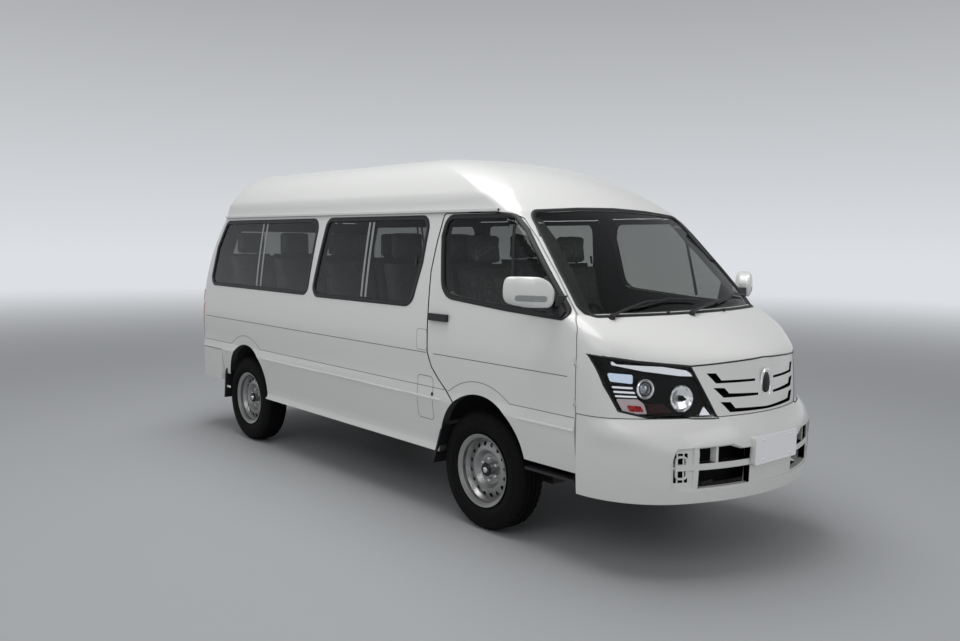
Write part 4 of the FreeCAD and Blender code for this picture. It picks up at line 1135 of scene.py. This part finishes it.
def sew(pad, kind, width, outline):
    """Presses the sewn channels into a pad: two along it and one across its upper part."""
    lines = (-width / 5, width / 5) if kind != "head" else ()
    low, high = min(point[1] for point in outline), max(point[1] for point in outline)
    crosses = (high - CROSS_DOWN * (high - low),) if kind == "back" else ()
    for vert in pad.data.vertices:
        depths = [CHANNEL_DEPTH * math.exp(-((vert.co.y / MM - line) / CHANNEL_WIDTH) ** 2) for line in lines]
        depths += [CROSS_DEPTH * math.exp(-((vert.co.z / MM - cross) / CHANNEL_WIDTH) ** 2) for cross in crosses]
        if depths:
            vert.co -= vert.normal * max(depths)


def place_pad(source, name, kind, middle, wide, back_x, base_z):
    """A copy of a finished pad at one seat. Its widths and its place change, its form doesn't."""
    mesh = source["pad"].data.copy()
    share = wide / source["width"]
    move = Vector(((back_x - source["back_x"]) * MM, middle * MM, (base_z - source["base_z"]) * MM))
    if kind == "head":
        share = 1.0
    for vert in mesh.vertices:
        vert.co = Vector((vert.co.x, vert.co.y * share, vert.co.z)) + move
    for polygon in mesh.polygons:
        polygon.use_smooth = True
    mesh.materials.append(FINISHES["cloth"])
    piece = linked(name, mesh)
    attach(piece, "root")
    return piece


class MINIBUS_OT_seats(bpy.types.Operator):
    """Make the padded seats"""

    bl_idname = "minibus.seats"
    bl_label = "Seats"

    def execute(self, context):
        sources = {}
        for group, seats in SEAT_GROUPS:
            _, width, back_x, base_z, height = seats[0]
            for kind in KINDS:
                outline = pad_outline(kind, back_x, base_z, height)
                wide = HEAD_WIDTH if kind == "head" else width - PAD_MARGIN
                pad = pad_form("%s_%s_form" % (group, kind), outline, wide)
                sources[group, kind] = {"pad": pad, "width": width, "back_x": back_x, "base_z": base_z,
                                        "outline": outline, "wide": wide}
        pads = [source["pad"] for source in sources.values()]
        swell(pads)
        for (group, kind), source in sources.items():
            sew(source["pad"], kind, source["wide"], source["outline"])
        pieces = {"front": [], "rear": []}
        for group, seats in SEAT_GROUPS:
            for number, (middle, width, back_x, base_z, _) in enumerate(seats):
                for kind in KINDS:
                    name = "%s_%s_%02d" % (group, kind, number)
                    pieces[group].append(place_pad(sources[group, kind], name, kind, middle, width, back_x, base_z))
        for pad in pads:
            bpy.data.objects.remove(pad)
        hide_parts("front_seats")
        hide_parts("rear_benches")
        return {"FINISHED"}


# Small pieces on the skin

GRILLE_TOP = ((-834, 1093), (-694, 1068), (-467, 1043), (-240, 1055), (0, 1064), (240, 1055), (467, 1043), (694, 1068),
              (834, 1093))
VENT_SLOT = ((264, 1733), (334, 1661))
MIRROR_CORNER = ((470, 1462), (618, 1304), (640, 1284), (628, 1272), (420, 1284))
BELT, CREASE, RIDGE = 970, 769, 705
FLANK_REAR, FLANK_FRONT, SEAM_HALF = -3690, 745, 4
FRONT_ARCH, REAR_ARCH = (15, 415, 437), (-2850, 462, 392)
CHARGE_FLAP = ((-543, 571), (-393, 571), (-393, 831), (-543, 831))
DOOR_SEAM = -280
SMALL_FLAP = ((-558, 983), (-455, 983), (-455, 1106), (-558, 1106))
MIRROR_SLOT = ((-1032, 1340), (-906, 1336), (-906, 1366), (-1032, 1370))
FLAP_LOCK = (-396, 729)
SLIDER_BARS, LATCHES = (-2692, -2625, -1200, -1152), (-1885, -640)
QUARTER_BAR = ((186, 1755), (262, 1300))
BOSS_HEIGHT, BOSS_HALVES = 925, (48, 90)
BOSS_RING = ((-2, 1), (4, 1), (7, 0.94), (7.5, 0.84), (4, 0.74), (2, 0.7), (-2, 1))
BOSS_FACE = ((-2, 0.78), (3, 0.78), (5.5, 0.5), (6.5, 0))
GRAB_HANDLE = ((318, 640, 1700), (345, 632, 1672), (396, 650, 1610), (452, 668, 1548), (470, 690, 1530))


def arch_span(arch, height):
    """Where the line round a wheel opening meets a height."""
    middle, low, reach = arch
    half = math.sqrt(reach ** 2 - (height - low) ** 2)
    return middle - half, middle + half


def arch_points(arch, height, parts=20):
    """Points along the line round a wheel opening, from its rear end at a height to its front end."""
    middle, low, reach = arch
    start = math.asin((height - low) / reach)
    angles = [math.pi - start - (math.pi - 2 * start) * k / parts for k in range(parts + 1)]
    return [(middle + reach * math.cos(angle), low + reach * math.sin(angle)) for angle in angles]


def crease_runs(door):
    """The crease along a flank with its bends round the wheels, parted where the door begins."""
    rear = [(FLANK_REAR, CREASE), *arch_points(REAR_ARCH, CREASE), (DOOR_SEAM - SEAM_HALF, CREASE)]
    front = [(DOOR_SEAM + SEAM_HALF, CREASE), *arch_points(FRONT_ARCH, CREASE), (FLANK_FRONT, CREASE)]
    return [(rear, "root"), (front, door)]


def ridge_runs(door):
    """The rounded ridge below the crease, between the wheels and on the door."""
    rear, front = arch_span(REAR_ARCH, RIDGE), arch_span(FRONT_ARCH, RIDGE)
    return [(FLANK_REAR, rear[0], "root"), (rear[1], front[0], "root"),
            (front[1], FLANK_FRONT, door)]


MIRROR_PLAN = ((606, -852), (618, -880), (580, -960), (490, -1048), (440, -1058), (420, -1025), (482, -915),
               (548, -852))
MIRROR_LOW, MIRROR_TOP = 1306, 1460
MIRROR_LAYERS, MIRROR_INSET = 14, 52
FOOT_REACH = 0.8492
TOP_SLOPE_FROM, TOP_SLOPE_RUN, TOP_DROP = -935, 85, 58
LOW_SLOPE_FROM, LOW_SLOPE_RUN, LOW_RISE = -960, 100, 26


def build_mirror(side, word):
    """A mirror's rounded shell on its black foot."""
    bm = merged_node("mirror_" + word)
    shell = [face for face in bm.faces if min(abs(vert.co.y) for vert in face.verts) > FOOT_REACH]
    bmesh.ops.delete(bm, geom=shell, context="FACES")
    finish_mesh("mirror_foot_" + word, bm, "trim", "door_" + word)
    path = rounded(MIRROR_PLAN, 16, True, 26.0)
    heart = sum(path, Vector((0, 0))) / len(path)
    bm = bmesh.new()
    rings = []
    for layer in range(MIRROR_LAYERS + 1):
        turn = math.pi * (layer / MIRROR_LAYERS - 0.5)
        rise = math.copysign(abs(math.sin(turn)) ** 0.8, turn)
        inset = MIRROR_INSET * (1 - max(math.cos(turn), 0.0) ** 0.5)
        ring = []
        for point in path:
            drawn = point + (heart - point).normalized() * min(inset, 0.85 * (heart - point).length)
            z = (MIRROR_LOW + MIRROR_TOP) / 2 + rise * (MIRROR_TOP - MIRROR_LOW) / 2
            if rise > 0:
                z -= TOP_DROP * rise * max(0.0, (drawn.y - TOP_SLOPE_FROM) / TOP_SLOPE_RUN) ** 1.5
            else:
                z -= LOW_RISE * rise * max(0.0, (LOW_SLOPE_FROM - drawn.y) / LOW_SLOPE_RUN)
            ring.append(bm.verts.new(at(drawn.x, -side * drawn.y, z)))
        rings.append(ring)
    for low, high in zip(rings, rings[1:]):
        for k, vert in enumerate(low):
            follow = (k + 1) % len(low)
            bm.faces.new((vert, low[follow], high[follow], high[k]))
    bm.faces.new(rings[0])
    bm.faces.new(rings[-1])
    bmesh.ops.recalc_face_normals(bm, faces=bm.faces)
    housing = finish_mesh("mirror_shell_" + word, bm, "paint", "door_" + word, MIRROR_SHARP)
    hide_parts("mirror_" + word)
    shell_caster = end_caster(1, search_tree((), (housing.name,)))
    skin_sheet("mirror_slot_" + word, mirrored(MIRROR_SLOT, side), 13, shell_caster, -0.0012, 0.002, "frame_grey",
               "door_" + word, step=14.0)


GUARD = ((-841, 316), (-841, 556), (-640, 556), (-640, 316))
WIPERS = (((785, -628, 1255), ((763, -524, 1277), (762, -340, 1315), (771, -220, 1317)),
           ((754, -440, 1290), (771, -390, 1297), (770, -164, 1330), (784, 78, 1316))),
          ((870, -80, 1257), ((822, 75, 1276), (780, 318, 1308), (735, 470, 1318)),
           ((800, 240, 1292), (760, 420, 1318), (702, 560, 1337), (675, 709, 1318))))
NOZZLES = ((838, -245, 1264), (849, 244, 1260))
PIVOT, NOZZLE = ((-8, 17), (14, 17), (22, 13), (24, 0)), ((-10, 10), (14, 9), (22, 7), (24, 0))


def build_wipers():
    """Two wipers, each a pivot, an arm and a blade, and the two washer nozzles."""
    blade_radius = bpy.context.scene.minibus_trim.wiper_width / MM / 2
    for number, ((x, y, z), arm, blade) in enumerate(WIPERS):
        turned_piece("wiper_pivot_%d" % number, PIVOT, at(x, y, z), Vector((0.5, 0, 0.87)), "trim", 24)
        lifted = [(x + 9, y, z + 16)] + [(px + 12, py, pz + 14) for px, py, pz in arm]
        tube("wiper_arm_%d" % number, lifted, 7, "trim")
        tube("wiper_blade_%d" % number, [(px + 9, py, pz + 8) for px, py, pz in blade], blade_radius, "trim")
    for number, (x, y, z) in enumerate(NOZZLES):
        turned_piece("washer_%d" % number, NOZZLE, at(x - 4, y, z - 4), Vector((0.6, 0, 0.8)), "trim", 20)


def tube(name, points, radius, finish, turns=10):
    """A round bar through points given in millimetres."""
    spots = [at(*point) for point in points]
    bm = bmesh.new()
    profile = [(radius * MM * math.cos(math.tau * k / turns), radius * MM * math.sin(math.tau * k / turns))
               for k in range(turns)]
    sweep(bm, spots, [Vector((0.1, -0.2, 1)).normalized()] * len(spots), profile, False)
    finish_mesh(name, bm, finish)


def build_flank(side, word):
    """One flank's pillar vent, the corner under its quarter window, and the lines along it. The dark lines in its
    crease and belt groove are painted shade; the ridge is a bead in body paint.
    """
    flank, door = side_caster(side), "door_" + word
    skin_line("pillar_vent_" + word, VENT_SLOT, flank, bead(0.016, 0.003), "trim", step=12.0)
    skin_sheet("mirror_corner_" + word, MIRROR_CORNER, 6, side_caster(side, GLASS), -0.009, 0.010, "trim", door)
    for number, (points, body) in enumerate(crease_runs(door)):
        skin_line("crease_%d_%s" % (number, word), points, flank, bead(0.004, 0.0006), "seam", body)
    for low_x, high_x, body in ((-3700, -460, "root"), (-450, 752, door)):
        skin_line("belt_%d_%s" % (-low_x, word), ((low_x, BELT), (high_x, BELT)), flank, bead(0.005, 0.0006), "seam",
                  body, step=60.0)
    for number, (low_x, high_x, body) in enumerate(ridge_runs(door)):
        skin_line("ridge_%d_%s" % (number, word), ((low_x, RIDGE), (high_x, RIDGE)), flank, bead(0.014, 0.003),
                  "paint", body, step=60.0)


def build_window_bars():
    """The upright bars of the sliding panes, their latches, and the bars of the quarter windows."""
    for side, word in SIDES:
        for x in SLIDER_BARS:
            skin_line("slider_bar_%d_%s" % (-x, word), ((x, 1262), (x, 1748)), side_caster(side, GLASS),
                      bead(0.022, 0.004), "frame_grey")
    for side, word in SIDES:
        for x in LATCHES:
            skin_sheet("latch_%d_%s" % (-x, word), box_outline(x - 9, x + 9, 1480, 1535), 5,
                       side_caster(side, GLASS), -0.004, 0.004, "trim")
    for side, word in SIDES:
        skin_line("quarter_bar_" + word, QUARTER_BAR, side_caster(side, GLASS), bead(0.020, 0.005), "rubber",
                  "door_" + word)


def build_guards():
    """The splash guards behind the wheels."""
    for side, word in SIDES:
        for end, top_x, slope in (("front", -302, 0.35), ("rear", -3214, 0.11)):
            skin_sheet("splash_guard_%s_%s" % (end, word), mirrored(GUARD, side), 14,
                       lambda y, z: (at(top_x - (560 - z) * slope, y, z), FORWARD), 0, 0.006, "trim")


def build_boss():
    """The grille's blank oval: a bright ring round a dark face."""
    place, _ = on_end(0, BOSS_HEIGHT, 1)
    matrix = Matrix.Translation(place) @ Matrix.Diagonal((1, *BOSS_HALVES, 1))
    for name, profile, finish, steps in (("grille_boss", BOSS_RING, "silver", 48),
                                         ("grille_boss_face", BOSS_FACE, "black_gloss", 40)):
        bm = bmesh.new()
        turned(bm, profile, Vector(), FORWARD, steps)
        bmesh.ops.transform(bm, verts=bm.verts, matrix=matrix)
        finish_mesh(name, bm, finish)


class MINIBUS_OT_details(bpy.types.Operator):
    """Lay the small pieces on the skin"""

    bl_idname = "minibus.details"
    bl_label = "Small pieces"

    def execute(self, context):
        skin_line("front_seam", GRILLE_TOP, end_caster(1), bead(0.008, 0.0012), "rubber")
        for side, word in SIDES:
            build_flank(side, word)
        # The dark line round the small flap is painted shade in its gap.
        skin_line("small_flap_seam", SMALL_FLAP, side_caster(-1), bead(0.0028, 0.0003), "seam", radius=16,
                  closed=True, step=20.0)
        build_window_bars()
        for side, word in SIDES:
            build_mirror(side, word)
        build_wipers()
        build_front_openings()
        build_plate()
        build_guards()
        # The dark line round the charge flap is painted shade in its gap.
        skin_line("flap_seam", CHARGE_FLAP, side_caster(-1), bead(0.004, 0.0006), "seam", radius=26, closed=True)
        place, normal = on_side(*FLAP_LOCK, -1)
        turned_piece("flap_lock", ((0, 11), (2, 11), (2.5, 9), (2.5, 0)), place, normal, "trim", 24)
        tube("grab_handle", GRAB_HANDLE, 11, "interior")
        build_boss()
        return {"FINISHED"}


# Camera, floor and light

EYE = Vector((3687.3, -4004.3, 1633.9))
YAW, PITCH, ROLL = math.radians(49.208), math.radians(-5.152), math.radians(0.713)
FOCAL_PIXELS, IMAGE_WIDTH, SENSOR = 880.91, 960, 36.0
HORIZON, UPPER_SKY, FLOOR_COLOUR = (0.72, 0.74, 0.77), (0.25, 0.255, 0.27), (0.36, 0.37, 0.38)
SKY_LIGHT, SKY_STRENGTH = (0.97, 0.98, 1.0), 0.42
FADE_NEAR, FADE_FAR = 4.0, 26.0
AREA_LIGHTS = (("key", (4.5, -7.5, 6.5), (0.0, 0.0, 1.0), 7.0, 4.0, 120),
               ("top", (-0.5, -0.5, 7.5), (0.0, 0.0, 1.0), 8.0, 4.0, 420),
               ("front", (9.0, 1.5, 3.5), (1.5, 0.0, 1.0), 4.0, 3.0, 60))


def aim_camera():
    """The camera at the photograph's own place."""
    ahead = Vector((-math.sin(YAW) * math.cos(PITCH), math.cos(YAW) * math.cos(PITCH), math.sin(PITCH)))
    level = Vector((math.cos(YAW), math.sin(YAW), 0))
    upright = level.cross(ahead)
    right = level * math.cos(ROLL) + upright * math.sin(ROLL)
    up = upright * math.cos(ROLL) - level * math.sin(ROLL)
    data = bpy.data.cameras.new("camera")
    data.sensor_width = SENSOR
    data.lens = FOCAL_PIXELS / IMAGE_WIDTH * SENSOR
    camera = linked("camera", data)
    aim = Matrix((right, up, -ahead)).transposed().to_4x4()
    camera.matrix_world = Matrix.Translation(at(*EYE)) @ aim
    bpy.context.scene.camera = camera


def soft_lamp(name, place, target, width, height, power):
    """A rectangular lamp at a place, turned to its target."""
    data = bpy.data.lights.new(name, "AREA")
    data.shape = "RECTANGLE"
    data.size, data.size_y = width, height
    data.energy = power
    lamp = linked(name, data)
    lamp.location = place
    lamp.rotation_euler = (Vector(target) - Vector(place)).to_track_quat("-Z", "Y").to_euler()


def pale_world():
    """Even light, and a pale gradient where the background shows."""
    world = bpy.data.worlds.new("studio")
    bpy.context.scene.world = world
    world.use_nodes = True
    tree = world.node_tree
    light = tree.nodes["Background"]
    light.inputs["Color"].default_value = (*SKY_LIGHT, 1)
    light.inputs["Strength"].default_value = SKY_STRENGTH
    where = add_node(tree, "ShaderNodeTexCoord")
    parts = add_node(tree, "ShaderNodeSeparateXYZ", (("Vector", where.outputs["Generated"]),))
    rise = add_node(tree, "ShaderNodeMapRange", (("Value", parts.outputs["Z"]),),
                    values={"From Min": -0.02, "From Max": 0.38})
    shade_of_sky = colour_mix(tree, rise.outputs["Result"], HORIZON, UPPER_SKY)
    shown = add_node(tree, "ShaderNodeBackground", (("Color", shade_of_sky),))
    path = add_node(tree, "ShaderNodeLightPath")
    seen = worked(tree, "MAXIMUM", path.outputs["Is Camera Ray"], path.outputs["Is Glossy Ray"])
    seen = worked(tree, "MAXIMUM", seen, path.outputs["Is Transmission Ray"])
    show_mix(tree, "World Output", seen, light.outputs["Background"], shown.outputs["Background"])


class MINIBUS_OT_stage(bpy.types.Operator):
    """Set up floor, light and camera"""

    bl_idname = "minibus.stage"
    bl_label = "Stage"

    def execute(self, context):
        bm = bmesh.new()
        bmesh.ops.create_grid(bm, x_segments=4, y_segments=4, size=60)
        mesh = mesh_of("floor", bm)
        material, tree, shader = new_finish("pale_floor")
        set_shader(shader, Roughness=0.6, Specular_IOR_Level=0.2, Base_Color=FLOOR_COLOUR, Emission_Color=HORIZON)
        reach = add_node(tree, "ShaderNodeVectorMath", ((0, object_place(tree)),), operation="LENGTH")
        far = add_node(tree, "ShaderNodeMapRange", (("Value", reach.outputs["Value"]),),
                       interpolation_type="SMOOTHSTEP", values={"From Min": FADE_NEAR, "From Max": FADE_FAR})
        glow = add_node(tree, "ShaderNodeEmission", values={"Color": (*HORIZON, 1)})
        show_mix(tree, "Material Output", far.outputs["Result"], shader.outputs["BSDF"], glow.outputs["Emission"])
        mesh.materials.append(material)
        floor = linked("floor", mesh)
        pale_world()
        for light in AREA_LIGHTS:
            soft_lamp(*light)
        aim_camera()
        context.scene.view_settings.view_transform = "Standard"
        return {"FINISHED"}


class MINIBUS_PT_looks(bpy.types.Panel):
    """Lists the steps that dress the minibus"""

    bl_label = "Minibus"
    bl_idname = "MINIBUS_PT_looks"
    bl_space_type = "VIEW_3D"
    bl_region_type = "UI"
    bl_category = "Minibus"

    def draw(self, context):
        paint = context.scene.minibus_paint
        trim = context.scene.minibus_trim
        for name in ("body", "gloss", "dust_and_shade", "wheel", "rubber", "cloth"):
            self.layout.prop(paint, name)
        for name in ("seal_width", "seal_height", "wiper_width"):
            self.layout.prop(trim, name)
        for step in STEPS:
            self.layout.operator(step.bl_idname)


STEPS = (MINIBUS_OT_bodywork, MINIBUS_OT_glazing, MINIBUS_OT_seals, MINIBUS_OT_wheels, MINIBUS_OT_lamps,
         MINIBUS_OT_seats, MINIBUS_OT_details, MINIBUS_OT_stage)
CLASSES = (PaintSettings, TrimSettings, *STEPS, MINIBUS_PT_looks)


def register():
    for cls in CLASSES:
        bpy.utils.register_class(cls)
    bpy.types.Scene.minibus_paint = PointerProperty(type=PaintSettings)
    bpy.types.Scene.minibus_trim = PointerProperty(type=TrimSettings)


def unregister():
    del bpy.types.Scene.minibus_trim
    del bpy.types.Scene.minibus_paint
    for cls in reversed(CLASSES):
        bpy.utils.unregister_class(cls)


def main():
    """Dresses the minibus."""
    register()
    build_finishes()
    for step in STEPS:
        group, name = step.bl_idname.split(".")
        getattr(getattr(bpy.ops, group), name)()


if __name__ == "__main__":
    main()
